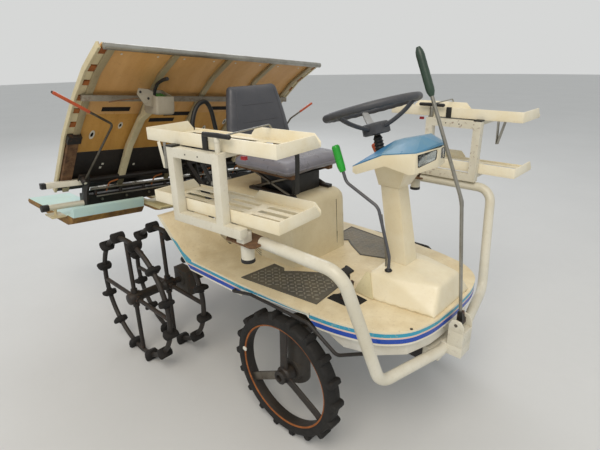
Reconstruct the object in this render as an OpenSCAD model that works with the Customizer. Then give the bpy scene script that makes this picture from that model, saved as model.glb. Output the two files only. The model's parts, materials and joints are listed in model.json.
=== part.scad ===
/* [Wheels] */
// Distance between the front and rear axles
wheelbase = 955; // [850:5:1050]
// Radius of a rear wheel to its lug tips
rear_r = 353; // [330:1:360]
// Distance from the middle of the machine to the main rear ring
rear_inner_y = 396; // [380:1:410]
// Distance from the middle of the machine to the auxiliary rear ring
rear_outer_y = 592; // [580:1:630]
// Thickness of the bent tube that makes a rear ring
ring_tube = 25; // [22:1:32]
// Number of rubber paddles on each rear ring
paddle_count = 12; // [8:1:14]
// Width of a rubber paddle across the ring
paddle_w = 78; // [60:1:90]
// Radial depth of a rubber paddle
paddle_h = 52; // [40:1:60]
// Radius of a front wheel to its lug tips
front_r = 284; // [270:1:290]
// Distance from the middle of the machine to the middle of a front tyre
front_y = 448; // [440:1:455]
// Width of a front tyre
tyre_w = 62; // [50:1:66]
// Inner radius of a front tyre
tyre_inner_r = 229; // [220:1:235]
// Height of the lugs on a front tyre
tyre_lug_h = 16; // [10:1:22]
// Number of lugs on a front tyre
tyre_lug_count = 18; // [12:1:24]

/* [Body] */
// Height of the walking surface of the deck
floor_z = 606; // [600:1:640]
// Thickness of the moulded deck
deck_t = 6; // [4:0.5:8]
// Half width of the deck where it is widest
deck_half_w = 441; // [420:1:460]
// Depth of the skirt below the walking surface
skirt_h = 58; // [40:1:70]
// Width of the engine cover under the seat
seat_box_w = 372; // [320:1:400]
// Front face of the engine cover, forward of the rear axle
seat_box_front = 762; // [700:1:800]
// Rear face of the engine cover, forward of the rear axle
seat_box_rear = 180; // [140:1:260]
// Height of the top of the engine cover
seat_box_z = 912; // [860:1:940]
// Width of the seat cushion
cushion_w = 420; // [380:1:460]
// Length of the seat cushion
cushion_l = 390; // [380:1:440]
// Thickness of the seat cushion
cushion_t = 68; // [60:1:90]
// Height of the underside of the seat cushion
cushion_z = 1024; // [960:1:1040]

/* [Steering] */
// Outside diameter of the steering wheel
steering_wheel_d = 390; // [340:1:420]
// Thickness of the steering wheel rim
steering_rim_d = 27; // [20:1:32]
// Backward lean of the steering shaft from vertical, in degrees
steering_lean = 17; // [12:1:25]
// Width of the instrument console
console_w = 262; // [220:1:300]

/* [Pipes] */
// Diameter of the guard pipes
guard_d = 42; // [34:1:48]
// Height of the straight run of the guard pipes
guard_z = 914; // [880:1:920]
// Half distance between the two guard pipes
guard_y = 556; // [520:1:590]

/* [Seedling racks] */
// Length of a seedling tray
tray_l = 650; // [600:1:680]
// Width of a seedling tray
tray_w = 236; // [210:1:300]
// Height of the rim of a seedling tray
tray_rim = 46; // [30:1:60]
// Height of the rim top of the upper tray
upper_tray_z = 1268; // [1240:1:1300]
// Height of the rim top of the lower tray
lower_tray_z = 1022; // [990:1:1050]
// Side of the square tube of a rack
rack_tube = 34; // [28:1:40]
// Forward distance of the rack pivots from the rear axle
rack_pivot_x = 925; // [880:1:960]
// Half distance between the rack pivots
rack_pivot_y = 583; // [560:1:610]

/* [Planting unit] */
// Distance between two planted rows
row_pitch = 300; // [280:5:330]
// Length of a lift link between its pins
link_l = 488; // [480:1:500]
// Upward slope of the lift links as parked, in degrees
link_rise = 42.5; // [41:0.5:43]
// Sideways lean of the parked planting unit, in degrees
unit_lean = 5; // [0:0.5:5]
// Height of the line that the planting unit leans about
lean_z = 745; // [743:1:747]
// Sideways shift of the parked seedling platform
platform_shift = -80; // [-90:1:90]
// Half distance between the ends of the white side tubes
side_tube_y = 822; // [780:1:860]
// Radius of the circle that the claw tips run on
claw_r = 150; // [140:1:152]

/* [Hidden] */
$fn = 48;
// Running clearance between a shaft and its bore, on the radius
run = 0.06;
// Gap between painted neighbours on different bodies
gap = 0.3;

// Sides: right is -1 and left is +1
right = -1;
left = 1;

// Ends of the machine, from the rear axle, and the shift that centres it
front_x = 1522;
rear_x = -930;
set_x = -(front_x + rear_x) / 2;

// Rear wheels
rear_rings = [rear_inner_y, rear_outer_y];
// Two paddles of each ring stand on the ground, so the axle sits a little lower
paddle_phase = 180 / paddle_count;
paddle_tip = 20;
rear_axle_z = rear_r * cos(paddle_phase) + paddle_tip / 2 * sin(paddle_phase);
ring_r = rear_r - paddle_h / 2 - 4;
rear_hub_d = 62;
rear_shaft_d = 34;
spoke_count = 4;

// Front wheels
king_y = front_y - 83;
steer_z = front_r;
axle_z = 455;
rim_w = tyre_w - 18;

// Frame
rail_y = 118;
rail_w = 46;
rail_h = 70;
rail_z = 400;
rail_rear = -70;
rail_front = 1395;
rail_top = rail_z + rail_h;

// Deck: distance forward of the rear axle and half width
deck_plan = [[330, 1], [700, 1], [980, 0.975], [1180, 0.915], [1330, 0.81], [1412, 0.63], [1444, 0.38], [1452, 0]];
fender_rear = 62;
fender_rise = 165;
arch_rear = 690;
arch_front = 1085;
arch_rise = 44;

// Front hump: outlines of its foot and of its level top, and the height of that top
hump_foot = [[1085, 175], [1200, 184], [1436, 150]];
hump_shoulder = [1145, 145];
hump_front = [1414, 78];
hump_top = [[1160, 46], [1246, 46]];
hump_rise = 116;

// Pedals, which stay ahead of the front axle
pedal_x = wheelbase + 111;

// Column and console
column_foot = [1206, floor_z + hump_rise];
column_head = [1147, 1030];
console_rear = 1037;
console_corner = 1293;
console_nose = 1325;
nose_y = 6;
corner_y = console_w / 2 - 16;
// Side view of the cream body: its lower edge, then the seam under the blue top
console_lower = [[1054, 1082], [1179, 1132], [1275, 1111], [1330, 1129]];
console_seam = [[1345, 1203.6], [console_corner, 1191], [1169, 1171], [console_rear, 1110]];
lamp_outline = [[14, 1137], [103, 1157], [104, 1194], [9, 1184]];
lamp_depth = 5;
shaft_foot = [1092, 1100];
boot_d = 44;
steering_shaft_d = 24;
hub_x = 1026;
hub_z = shaft_foot[1] + (shaft_foot[0] - hub_x) / tan(steering_lean);

// Lift linkage: front pins of the lower and upper links
link_front = [60, 430];
link_gap = 140;
link_y = 80;
link_pin_d = 20;
hitch = [link_front[0] - link_l * cos(link_rise), link_front[1] + link_l * sin(link_rise)];

// Planting unit, in its own level frame
beam = [-400, 745];
beam_w = 60;
upper_tube = [-366, 858];
upper_tube_d = 32;
rotor = [-620, 745];
float_z = 640;
float_t = 40;
float_rear = -930;
float_nose = -252;
marker_foot = [-300, -632, 868];
marker_tilt = 36.87;
case_y = row_pitch;
platform_half = 2 * row_pitch + 42;
// Middle line of the seedling platform from its foot to its head
bed_line = [[-445, 800], [-385, 890], [-240, 1105], [-70, 1296], [55, 1408], [215, 1508]];
function bed_x(z) = lookup(z, [for (p = bed_line) [p[1], p[0]]]);
mid_rail_z = 1280;

// Straight round bar between two points
module rod(a, b, d) {
    v = b - a;
    translate(a) rotate([0, acos(v[2] / norm(v)), atan2(v[1], v[0])]) cylinder(h = norm(v), d = d);
}

// Square bar between two points, its sides kept level across the machine
module square_bar(a, b, w, h) {
    v = b - a;
    translate(a) rotate([0, acos(v[2] / norm(v)), atan2(v[1], v[0])])
        translate([-h / 2, -w / 2, 0]) cube([h, w, norm(v)]);
}

function unit(v) = v / norm(v);
function turn(p, i) = acos(unit(p[i] - p[i - 1]) * unit(p[i + 1] - p[i]));

// Start, middle and end of the bend at one corner of a path
function bend(p, i, r) =
    let (
        way = unit(p[i] - p[i - 1]),
        next = unit(p[i + 1] - p[i]),
        cut = r * tan(turn(p, i) / 2),
        centre = p[i] - way * cut + unit(next - way * (next * way)) * r
    )
    [p[i] - way * cut, centre + unit(p[i] - centre) * r, p[i] + next * cut];

function bent(p, r) = concat(
    [p[0]], [for (i = [1 : 1 : len(p) - 2]) each bend(p, i, r)], [p[len(p) - 1]]);

// Round bar through a list of points, with a ball at each corner that hides the mitre
module pipe(way, d) {
    for (i = [0 : len(way) - 2]) rod(way[i], way[i + 1], d);
    for (i = [1 : 1 : len(way) - 2]) translate(way[i]) sphere(d = 1.02 * d / cos(turn(way, i) / 2));
}

// Cylinder that lies across the machine, from one y to another
module cross_bar(x, z, y0, y1, d) {
    translate([x, y0, z]) rotate([-90, 0, 0]) cylinder(h = y1 - y0, d = d);
}

// Flat plate cut to a side view outline, from one y to another
module side_plate(points, y0, y1) {
    translate([0, y1, 0]) rotate([90, 0, 0]) linear_extrude(y1 - y0) polygon(points);
}

// Places a right-hand piece on the side asked for
module on_side(side) {
    if (side == right) children();
    else mirror([0, 1, 0]) children();
}

// Moves from axle measures to the centred frame of the part
module placed() {
    translate([set_x, 0, 0]) children();
}

// Leans the planting unit as it is parked
module leaning() {
    translate([set_x, 0, lean_z]) rotate([-unit_lean, 0, 0]) translate([0, 0, -lean_z]) children();
}

module main_frame() color("dimgray") placed() {
    for (s = [right, left])
        translate([rail_rear, s * rail_y - rail_w / 2, rail_z]) cube([rail_front - rail_rear, rail_w, rail_h]);
    cross_y = rail_y - rail_w / 2;
    for (x = [760, 1340])
        translate([x, -cross_y, x < 800 ? rail_z - 40 : rail_z + 8]) cube([50, 2 * cross_y, 56]);
    // posts that hold the deck
    for (s = [right, left], x = [756, 1366])
        translate([x, s * rail_y - rail_w / 2, rail_top]) cube([29, rail_w, floor_z - deck_t - rail_top]);
    // uprights and pins of the lift links
    for (s = [right, left])
        translate([link_front[0] - 22, s * (rail_y - 17) - 6, rail_top]) cube([44, 12, link_gap - 20]);
    for (z = [link_front[1], link_front[1] + link_gap]) cross_bar(link_front[0], z, -cross_y, cross_y, link_pin_d);
}

module engine() color("darkslategray") placed()
    translate([220, -138, rail_top]) cube([430, 276, 330]);

module transmission_case() color("gray") placed() {
    translate([830, -95, 318]) cube([320, 190, 180]);
    translate([85, -58, 282]) cube([746, 116, 76]);
}

module front_axle() color("dimgray") placed() {
    for (s = [right, left]) on_side(s) difference() {
        union() {
            cross_bar(wheelbase, axle_z, -king_y + 30, -rail_y - rail_w / 2, 78);
            translate([wheelbase, -king_y, axle_z - 38]) cylinder(h = 76, d = 104);
        }
        translate([wheelbase, -king_y, axle_z - 40]) cylinder(h = 80, d = 60 + 2 * run);
    }
}

module rear_axle_case() color("dimgray") placed() {
    difference() {
        union() {
            translate([-85, -90, 262]) cube([170, 180, 103]);
            for (s = [right, left]) {
                translate([-40, s * rail_y - 33, 300]) cube([80, 56, 65]);
                translate([-40, s * (rail_y + 1) - 22, 330]) cube([80, 44, rail_z - 330]);
            }
            cross_bar(0, rear_axle_z, -rear_inner_y + 70, rear_inner_y - 70, 84);
            for (s = [right, left])
                translate([-60, s * (rear_inner_y - 110) - 30, 250]) cube([120, 60, 150]);
        }
        cross_bar(0, rear_axle_z, -rear_inner_y, rear_inner_y, rear_shaft_d + 2 * run);
    }
}

// One bent tube ring with its spokes, at its own distance from the middle
module ring_and_spokes(y, phase) {
    translate([0, y, rear_axle_z]) rotate([90, 0, 0]) {
        rotate_extrude() translate([ring_r, 0]) circle(d = ring_tube);
        for (i = [0 : spoke_count - 1])
            rotate([0, 0, phase + i * 360 / spoke_count]) rotate([0, 90, 0])
                translate([0, 0, rear_hub_d / 2 - 4]) cylinder(h = ring_r - rear_hub_d / 2 + 4, d = 22);
    }
}

module rear_wheel_frame(side) color("black") placed() on_side(side) {
    cross_bar(0, rear_axle_z, -rear_outer_y - 42, -rear_inner_y + 36, rear_hub_d);
    cross_bar(0, rear_axle_z, -rear_inner_y + 36, -96, rear_shaft_d);
    for (y = rear_rings) ring_and_spokes(-y, 0);
}

// Rubber paddles clamped round the ring tubes
module rear_paddles(side) color("black") placed() on_side(side)
    for (y = rear_rings) translate([0, -y, rear_axle_z]) rotate([90, 0, 0]) difference() {
        for (i = [0 : paddle_count - 1])
            rotate([0, 0, paddle_phase + i * 360 / paddle_count])
                translate([0, 0, -paddle_w / 2]) linear_extrude(paddle_w) polygon([
                    [rear_r - paddle_h, -20], [rear_r, -paddle_tip / 2], [rear_r, paddle_tip / 2], [rear_r - paddle_h, 20]
                ]);
        rotate_extrude() translate([ring_r, 0]) circle(d = ring_tube);
    }

// Drop case that steers about the king pin and carries a front wheel
module front_drive_case(side) color("dimgray") placed() on_side(side) {
    translate([wheelbase, -king_y, axle_z - 38 - gap - 3]) cylinder(h = 76 + 2 * gap + 30, d = 60);
    translate([wheelbase, -king_y, steer_z - 62]) cylinder(h = axle_z - 38 - gap - 3 - steer_z + 62, d = 96);
    translate([wheelbase, -king_y, steer_z]) rotate([90, 0, 0]) cylinder(h = 50, d = 96);
    translate([wheelbase, -king_y, steer_z]) rotate([90, 0, 0]) cylinder(h = 108, d = 30);
}

module front_rim(side) color("black") placed() on_side(side)
    translate([wheelbase, -front_y, front_r]) rotate([90, 0, 0]) difference() {
        union() {
            rotate_extrude() translate([tyre_inner_r - 8, -rim_w / 2]) square([8, rim_w]);
            translate([0, 0, -26]) cylinder(h = 66, d = 74);
            for (a = [90, 210, 330])
                rotate([0, 0, a]) translate([30, -17, 2]) cube([tyre_inner_r - 34, 34, 10]);
        }
        translate([0, 0, -40]) cylinder(h = 70, d = 30 + 2 * run);
    }

module front_tyre(side) color("black") placed() on_side(side)
    translate([wheelbase, -front_y, front_r]) rotate([90, 0, 0]) {
        carcass_r = front_r - tyre_lug_h;
        rotate_extrude($fn = 64) polygon([
            [tyre_inner_r, -tyre_w / 2 + 4], [tyre_inner_r + 8, -tyre_w / 2], [carcass_r - 8, -tyre_w / 2],
            [carcass_r, -tyre_w / 2 + 10], [carcass_r, tyre_w / 2 - 10], [carcass_r - 8, tyre_w / 2],
            [tyre_inner_r + 8, tyre_w / 2], [tyre_inner_r, tyre_w / 2 - 4]
        ]);
        for (i = [0 : tyre_lug_count - 1])
            rotate([0, 0, i * 360 / tyre_lug_count])
                translate([carcass_r - 12, -13, -tyre_w / 2 + 2]) cube([tyre_lug_h + 10, 26, tyre_w - 4]);
    }

// Half outline of the deck seen from above, pulled in by an inset
function deck_points(inset, s) = [for (p = deck_plan) [p[0] - (p[0] > 700 ? inset : 0), s * max(0, p[1] * deck_half_w - inset)]];

module deck_outline(inset, rear) {
    polygon(concat(
        [[rear, deck_half_w - inset]], deck_points(inset, 1),
        [for (i = [len(deck_plan) - 2 : -1 : 0]) deck_points(inset, -1)[i]],
        [[rear, -deck_half_w + inset]]
    ));
}

module deck() color("antiquewhite") placed() difference() {
    union() {
        translate([0, 0, floor_z - skirt_h]) linear_extrude(skirt_h) deck_outline(0, 320);
        // rear fenders rise over the rear wheels
        for (s = [right, left])
            side_plate([
                [330, floor_z], [262, floor_z + 26], [fender_rear + 40, floor_z + fender_rise],
                [fender_rear, floor_z + fender_rise], [102, floor_z - skirt_h + 186],
                [314, floor_z - skirt_h], [330, floor_z - skirt_h]
            ], s > 0 ? 200 : -deck_half_w, s > 0 ? deck_half_w : -200);
    }
    // hollow underside
    translate([0, 0, floor_z - skirt_h - 1]) linear_extrude(skirt_h - deck_t + 1) deck_outline(deck_t, 310);
    for (s = [right, left])
        side_plate([
            [336, floor_z - deck_t], [262, floor_z + 26 - deck_t], [fender_rear + 38, floor_z + fender_rise - deck_t],
            [fender_rear + 4, floor_z + fender_rise - deck_t], [94, floor_z - skirt_h + 172],
            [300, floor_z - skirt_h - 14], [336, floor_z - skirt_h - 14]
        ], s > 0 ? 206 : -deck_half_w + deck_t, s > 0 ? deck_half_w - deck_t : -206);
    // arches over the front wheels
    for (s = [right, left])
        side_plate([
            [arch_rear, floor_z - skirt_h - 1], [arch_rear + 22, floor_z - skirt_h + arch_rise - 12],
            [arch_front - 36, floor_z - skirt_h + arch_rise], [arch_front + 14, floor_z - skirt_h - 1]
        ], s > 0 ? 300 : -deck_half_w - 19, s > 0 ? deck_half_w + 19 : -300);
    // openings for the engine and the pedals
    translate([310, -rail_y - 30, floor_z - deck_t - 1]) cube([430, 2 * (rail_y + 30), deck_t + 2]);
    for (s = [right, left])
        translate([pedal_x - 10, s * 232 - 36, floor_z - deck_t - 1]) cube([110, 72, deck_t + 2]);
}

module seat_box() color("antiquewhite") placed() difference() {
    box_h = seat_box_z - floor_z;
    translate([0, seat_box_w / 2, 0]) rotate([90, 0, 0]) linear_extrude(seat_box_w) polygon([
        [seat_box_rear, floor_z], [seat_box_front + 12, floor_z], [seat_box_front, floor_z + box_h - 40],
        [seat_box_front - 14, floor_z + box_h - 12], [seat_box_front - 42, floor_z + box_h],
        [seat_box_rear + 30, floor_z + box_h], [seat_box_rear, floor_z + box_h - 30]
    ]);
    translate([seat_box_rear + 5, -seat_box_w / 2 + 5, floor_z - 1])
        cube([seat_box_front - seat_box_rear - 12, seat_box_w - 10, box_h - 4]);
    // louvres in both sides
    for (s = [right, left], i = [0 : 5])
        translate([500 + i * 17, s * seat_box_w / 2 - 10, floor_z + 40]) rotate([0, 12, 0]) cube([7, 20, 70]);
}

function both_sides(points) = concat([for (p = points) [p[0], -p[1]]],
    [for (i = [len(points) - 1 : -1 : 0]) points[i]]);

// Hump with flat facets, smaller all round by an inset
module hump(inset) hull() {
    translate([0, 0, floor_z - (inset > 0 ? 1 : 0)]) linear_extrude(2)
        polygon(both_sides([for (p = hump_foot) [p[0] + (p[0] > 1300 ? -inset : inset), p[1] - inset]]));
    translate([0, 0, floor_z + hump_rise - 22 - inset]) linear_extrude(1)
        polygon(both_sides([[hump_shoulder[0] + inset, hump_shoulder[1] - inset], [1240, hump_shoulder[1] - inset - 6]]));
    translate([0, 0, floor_z + hump_rise - 18 - inset]) linear_extrude(1)
        polygon(both_sides([[1380, hump_front[1] - inset], [hump_front[0] - inset, hump_front[1] - inset]]));
    translate([0, 0, floor_z + hump_rise - 1 - inset]) linear_extrude(1)
        polygon(both_sides([for (p = hump_top) [p[0], p[1]]]));
}

module front_cover() color("antiquewhite") placed() difference() {
    hump(0);
    hump(6);
}

// White tub under the front of the deck, open over the frame and cut off at a slant behind
tub_z = 492;
module tub_outline(inset, rear) polygon(both_sides(concat(
    [[rear, deck_half_w * lookup(rear, deck_plan) - inset]],
    [for (p = deck_plan) if (p[0] > rear && p[1] > 0) [p[0] - inset, p[1] * deck_half_w - inset]],
    [[1452 - inset, 60]]
)));

module lower_front_cover() color("whitesmoke") placed() difference() {
    translate([0, 0, tub_z]) linear_extrude(floor_z - deck_t - tub_z) tub_outline(16, 1110);
    translate([0, 0, tub_z + 6]) linear_extrude(floor_z - tub_z) tub_outline(22, 1090);
    translate([1080, -rail_y - 32, tub_z - 2]) cube([322, 2 * rail_y + 64, 12]);
    side_plate([[1080, tub_z - 2], [1199, tub_z - 2], [1080, 572]], -deck_half_w, deck_half_w);
}

// Mat outline on the right-hand floor
mat_plan = [[650, -402], [664, -212], [730, -214], [752, -236], [800, -196], [905, -128], [1022, -170], [1046, -356]];
module foot_mats() color("slategray") placed()
    for (s = [right, left]) on_side(s) translate([0, 0, floor_z]) linear_extrude(4) polygon(mat_plan);

module steering_column() color("antiquewhite") placed() {
    hull() {
        translate([column_foot[0], 0, column_foot[1]]) linear_extrude(1) square([82, 84], center = true);
        translate([column_head[0], 0, column_head[1] - 1]) linear_extrude(1) square([80, 70], center = true);
    }
}

// Window of one headlamp in the slanted face of the console
module lamp_window(clear, h) translate([console_corner, -corner_y, 0])
    rotate([0, 0, atan2(corner_y - nose_y, console_nose - console_corner)]) translate([0, lamp_depth, 0])
        rotate([90, 0, 0]) linear_extrude(h) offset(delta = -clear) polygon(lamp_outline);

module boot_hole() translate([shaft_foot[0], 0, shaft_foot[1]]) rotate([0, -steering_lean, 0])
    translate([0, 0, -10]) cylinder(h = 260, d = boot_d);

module console() color("antiquewhite") placed() difference() {
    union() {
        difference() {
            translate([0, 0, 1070]) linear_extrude(140) polygon(both_sides([
                [console_rear, console_w / 2], [1169, console_w / 2], [console_corner, corner_y], [console_nose, nose_y]
            ]));
            side_plate(concat(console_lower, [[1340, 1129], [1340, 1060], [1020, 1060], [1020, 1096]]), -console_w, console_w);
            side_plate(concat([[1345, 1230]], console_seam, [[1020, 1102], [1020, 1230]]), -console_w, console_w);
        }
        hull() {
            translate([1098, -84, 1120]) cube([142, 168, 2]);
            translate([column_head[0] - 46, -42, column_head[1]]) cube([92, 84, 2]);
        }
    }
    for (s = [right, left]) on_side(s) lamp_window(0, lamp_depth + 10);
    boot_hole();
}

module console_top() color("steelblue") placed() difference() {
    hull() {
        translate([console_rear, -console_w / 2, 1110]) cube([2, console_w, 3]);
        translate([1167, -console_w / 2, 1168]) cube([2, console_w, 7]);
        translate([console_corner - 2, -corner_y, 1188]) cube([2, 2 * corner_y, 7]);
        translate([console_nose - 3, -8, 1206]) cube([3, 16, 10]);
        translate([1140, -70, 1184]) cube([110, 140, 8]);
        translate([1159, -34, 1206]) cube([2, 68, 4]);
        translate([1266, -34, 1230]) cube([2, 68, 8]);
    }
    side_plate(concat([[1345, 1050]], [for (p = console_seam) p + [0, gap]], [[1020, 1102 + gap], [1020, 1050]]),
        -console_w, console_w);
    boot_hole();
}

module headlamp() color("silver") placed()
    for (s = [right, left]) on_side(s) lamp_window(gap, lamp_depth - gap);

module steering_axis() {
    translate([hub_x, 0, hub_z]) rotate([0, -steering_lean, 0]) children();
}

module steering_shaft() color("black") placed() steering_axis() {
    difference() {
        translate([0, 0, -210]) cylinder(h = 104, d = boot_d);
        translate([0, 0, -211]) cylinder(h = 108, d = steering_shaft_d + 2 * run);
    }
}

module steering_wheel() color("dimgray") placed() steering_axis() {
    rotate_extrude() translate([steering_wheel_d / 2 - steering_rim_d / 2, 0]) circle(d = steering_rim_d);
    translate([0, 0, -104]) cylinder(h = 50, d = 92);
    translate([0, 0, -190]) cylinder(h = 100, d = steering_shaft_d);
    for (a = [90, 210, 330])
        rotate([0, 0, a]) square_bar([30, 0, -74], [steering_wheel_d / 2 - steering_rim_d / 2, 0, -2], 30, 14);
}

module seat_bracket() color("saddlebrown") placed() {
    for (y = [-140, 110]) translate([430, y, seat_box_z]) cube([290, 30, cushion_z - seat_box_z]);
    side_plate([[344, cushion_z - 24], [460, cushion_z - 24], [460, cushion_z], [366, cushion_z],
        [366, 1118], [344, 1118]], -118, 118);
}

module seat_cushion() color("dimgray") placed()
    translate([375, -cushion_w / 2, cushion_z]) cube([cushion_l, cushion_w, cushion_t]);

module seat_back() color("dimgray") placed() hull() {
    translate([344, -212, 1118]) cube([62, 424, 2]);
    translate([296, -156, 1390]) cube([50, 312, 2]);
}

// Bent rods of the hand controls beside the column
lever_foot = floor_z + hump_rise - 11.5;
lever_path = [[1205, -104, lever_foot], [1205, -104, 770], [1150, -113, 965], [997, -115, 1038], [978, -115, 1083]];
far_lever_path = [[1190, 104, lever_foot], [1190, 104, 760], [1130, 112, 900], [990, 118, 1120]];
module control_levers() color("gray") placed() {
    pipe(lever_path, 13);
    pipe(far_lever_path, 11);
    pipe([[1180, -84, lever_foot + 4], [1180, -84, 760], [1152, -90, 930]], 8);
    for (s = [right, left]) on_side(s) {
        side_plate([[pedal_x, rail_top], [pedal_x + 12, rail_top], [pedal_x + 46, floor_z + 62], [pedal_x + 33, floor_z + 66]],
            -262, -202);
        translate([pedal_x, -262, rail_top]) cube([12, 262 - rail_y, 12]);
    }
}

module lever_grips() color("limegreen") placed() {
    rod([978, -115, 1083], [937, -115, 1180], 32);
    way = unit(far_lever_path[3] - far_lever_path[2]);
    rod(far_lever_path[3], far_lever_path[3] + way * 42, 36);
}

// Guard pipe of one side, from its rack plate to the front of the machine
guard_path = [
    [rack_pivot_x + 46, -guard_y, guard_z], [1324, -guard_y - 8, guard_z],
    [1392, -430, 470], [1452, -110, 452], [1452, -20, 452]
];
module guard_pipes() color("whitesmoke") placed() {
    for (s = [right, left]) on_side(s) difference() {
        union() {
            pipe(bent(guard_path, 70), guard_d);
            translate([rack_pivot_x - 85, -rack_pivot_y - 34, guard_z - 4]) cube([150, 96, 8]);
            translate([rack_pivot_x, -rack_pivot_y, guard_z - 78]) cylinder(h = 78, d = 48);
        }
        translate([rack_pivot_x, -rack_pivot_y, guard_z - 70]) cylinder(h = 100, d = rack_tube + 2 * run);
    }
    translate([rail_front, -rail_y - 20, rail_z + 26]) cube([67, 2 * rail_y + 40, 40]);
    translate([1440, -80, rail_z + 32]) cube([82, 80, 44]);
}

module wheel_guard_pipes() color("gray") placed()
    for (s = [right, left]) on_side(s)
        pipe([[655, -deck_half_w, 566], [655, -deck_half_w - 15, 566], [772, -deck_half_w - 15, 591],
            [1090, -deck_half_w - 15, 591], [1215, -deck_half_w, 500], [1300, -230, 438],
            [1300, -rail_y - rail_w / 2, 438]], 14);

assist_pin = [1490, 566];
module assist_lever_bracket() color("whitesmoke") placed() {
    difference() {
        translate([1462, -80, rail_z + 76]) cube([60, 80, 112]);
        translate([1461, -62, 542]) cube([62, 44, 50]);
    }
    cross_bar(assist_pin[0], assist_pin[1], -70, -10, 14);
}

module assist_lever() color("black") placed() {
    difference() {
        cross_bar(assist_pin[0], assist_pin[1], -55, -25, 28);
        cross_bar(assist_pin[0], assist_pin[1], -90, 10, 14 + 2 * run);
    }
    pipe([[1488, -40, assist_pin[1] + 11], [1441, -40, 1032], [1291, -40, 1389]], 13);
    rod([1296, -40, 1377], [1230, -40, 1534], 30);
}

// Two trays and a square tube frame that swing about an upright pin
module rack_place(side) {
    placed() translate([rack_pivot_x, side * rack_pivot_y, 0])
        rotate([0, 0, side == right ? 5 : -180])
            mirror([0, side == right ? 0 : 1, 0]) children();
}

rack_posts = [-75, -310];
rack_out = -34;
tray_start = -490;
rack_foot = guard_z + 26;
module rack_frame(side) color("whitesmoke") rack_place(side) {
    // the upright pin that turns in the guard pipe's socket
    translate([0, 0, guard_z - 60]) cylinder(h = 60 + 4 + gap + 34, d = rack_tube);
    translate([rack_posts[1] - rack_tube / 2, rack_out - rack_tube / 2, rack_foot])
        cube([-rack_posts[1] + rack_tube + 4, rack_tube, rack_tube]);
    translate([-rack_tube / 2, rack_out, guard_z + 4 + gap]) cube([rack_tube, -rack_out, rack_tube - 6]);
    for (x = rack_posts)
        translate([x - rack_tube / 2, rack_out - rack_tube / 2, rack_foot])
            cube([rack_tube, rack_tube, upper_tray_z - tray_rim - 2 - rack_foot]);
    translate([rack_posts[1], rack_out - rack_tube / 2, upper_tray_z - tray_rim - 38])
        cube([rack_posts[0] - rack_posts[1], rack_tube, rack_tube]);
    // arms that carry the trays
    for (x = rack_posts, z = [upper_tray_z, lower_tray_z])
        translate([x - 12, rack_out, z - tray_rim - 20 - gap]) cube([24, tray_w - 20, 20]);
}

module tray(z) {
    slat = 7;
    translate([tray_start, rack_out + rack_tube / 2 + 4, z - tray_rim]) difference() {
        cube([tray_l, tray_w, tray_rim]);
        translate([5, 5, slat]) cube([tray_l - 10, tray_w - 10, tray_rim]);
        // slots between the slats
        for (i = [0 : 3], j = [0 : 4])
            translate([24 + i * (tray_l - 24) / 4, 22 + j * (tray_w - 34) / 5, -1])
                cube([(tray_l - 24) / 4 - 24, (tray_w - 34) / 5 - 16, slat + 2]);
        // open corners of the rim
        for (x = [-1, tray_l - 17], y = [-1, tray_w - 17]) translate([x, y, slat + 8]) cube([18, 18, tray_rim]);
    }
}

module seedling_trays(side) color("ivory") rack_place(side) {
    tray(upper_tray_z);
    tray(lower_tray_z);
}

// One lift link with an eye at each end
module link(a, b, y, w) {
    v = b - a;
    reach = norm(v);
    translate([a[0], y, a[1]]) rotate([90, 0, 0]) rotate([0, 0, atan2(v[1], v[0])]) translate([0, 0, -w / 2]) difference() {
        union() {
            cylinder(h = w, d = 46);
            translate([reach, 0, 0]) cylinder(h = w, d = 46);
            translate([0, -17, 0]) cube([reach, 34, w]);
        }
        translate([0, 0, -1]) cylinder(h = w + 2, d = link_pin_d + 2 * run);
        translate([reach, 0, -1]) cylinder(h = w + 2, d = link_pin_d + 2 * run);
    }
}

module lower_links() color("black") placed() {
    for (s = [right, left]) link(link_front, hitch, s * link_y, 14);
    mid = (link_front + hitch) / 2;
    cross_bar(mid[0], mid[1], -link_y + 6, link_y - 6, 24);
}

module upper_link() color("black") placed()
    link(link_front + [0, link_gap], hitch + [0, link_gap], 0, 26);

// Frame of the unit at the rear of the links, with the pin the unit leans on
module unit_hitch() color("black") placed() {
    for (s = [right, left])
        side_plate([[hitch[0] - 34, hitch[1] - 34], [hitch[0] + 26, hitch[1] - 34], [hitch[0] + 26, hitch[1] + 30],
            [hitch[0] - 4, hitch[1] + link_gap + 40], [hitch[0] - 34, hitch[1] + link_gap + 40]],
            s > 0 ? link_y - 22 : -link_y + 12, s > 0 ? link_y - 12 : -link_y + 22);
    cross_bar(hitch[0], hitch[1], -link_y - 12, link_y + 12, link_pin_d);
    cross_bar(hitch[0], hitch[1] + link_gap, -link_y + 12, link_y - 12, link_pin_d);
    translate([hitch[0] - 34, -link_y + 12, lean_z - 40]) cube([10, 2 * link_y - 24, 80]);
    translate([hitch[0] - 118, 0, lean_z]) rotate([0, 90, 0]) cylinder(h = 90, d = 36);
}

// Axes of a folded marker: x along its pin, z up the slope of the bed
module marker_place() {
    translate(marker_foot) rotate([0, marker_tilt, 0]) children();
}

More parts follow.
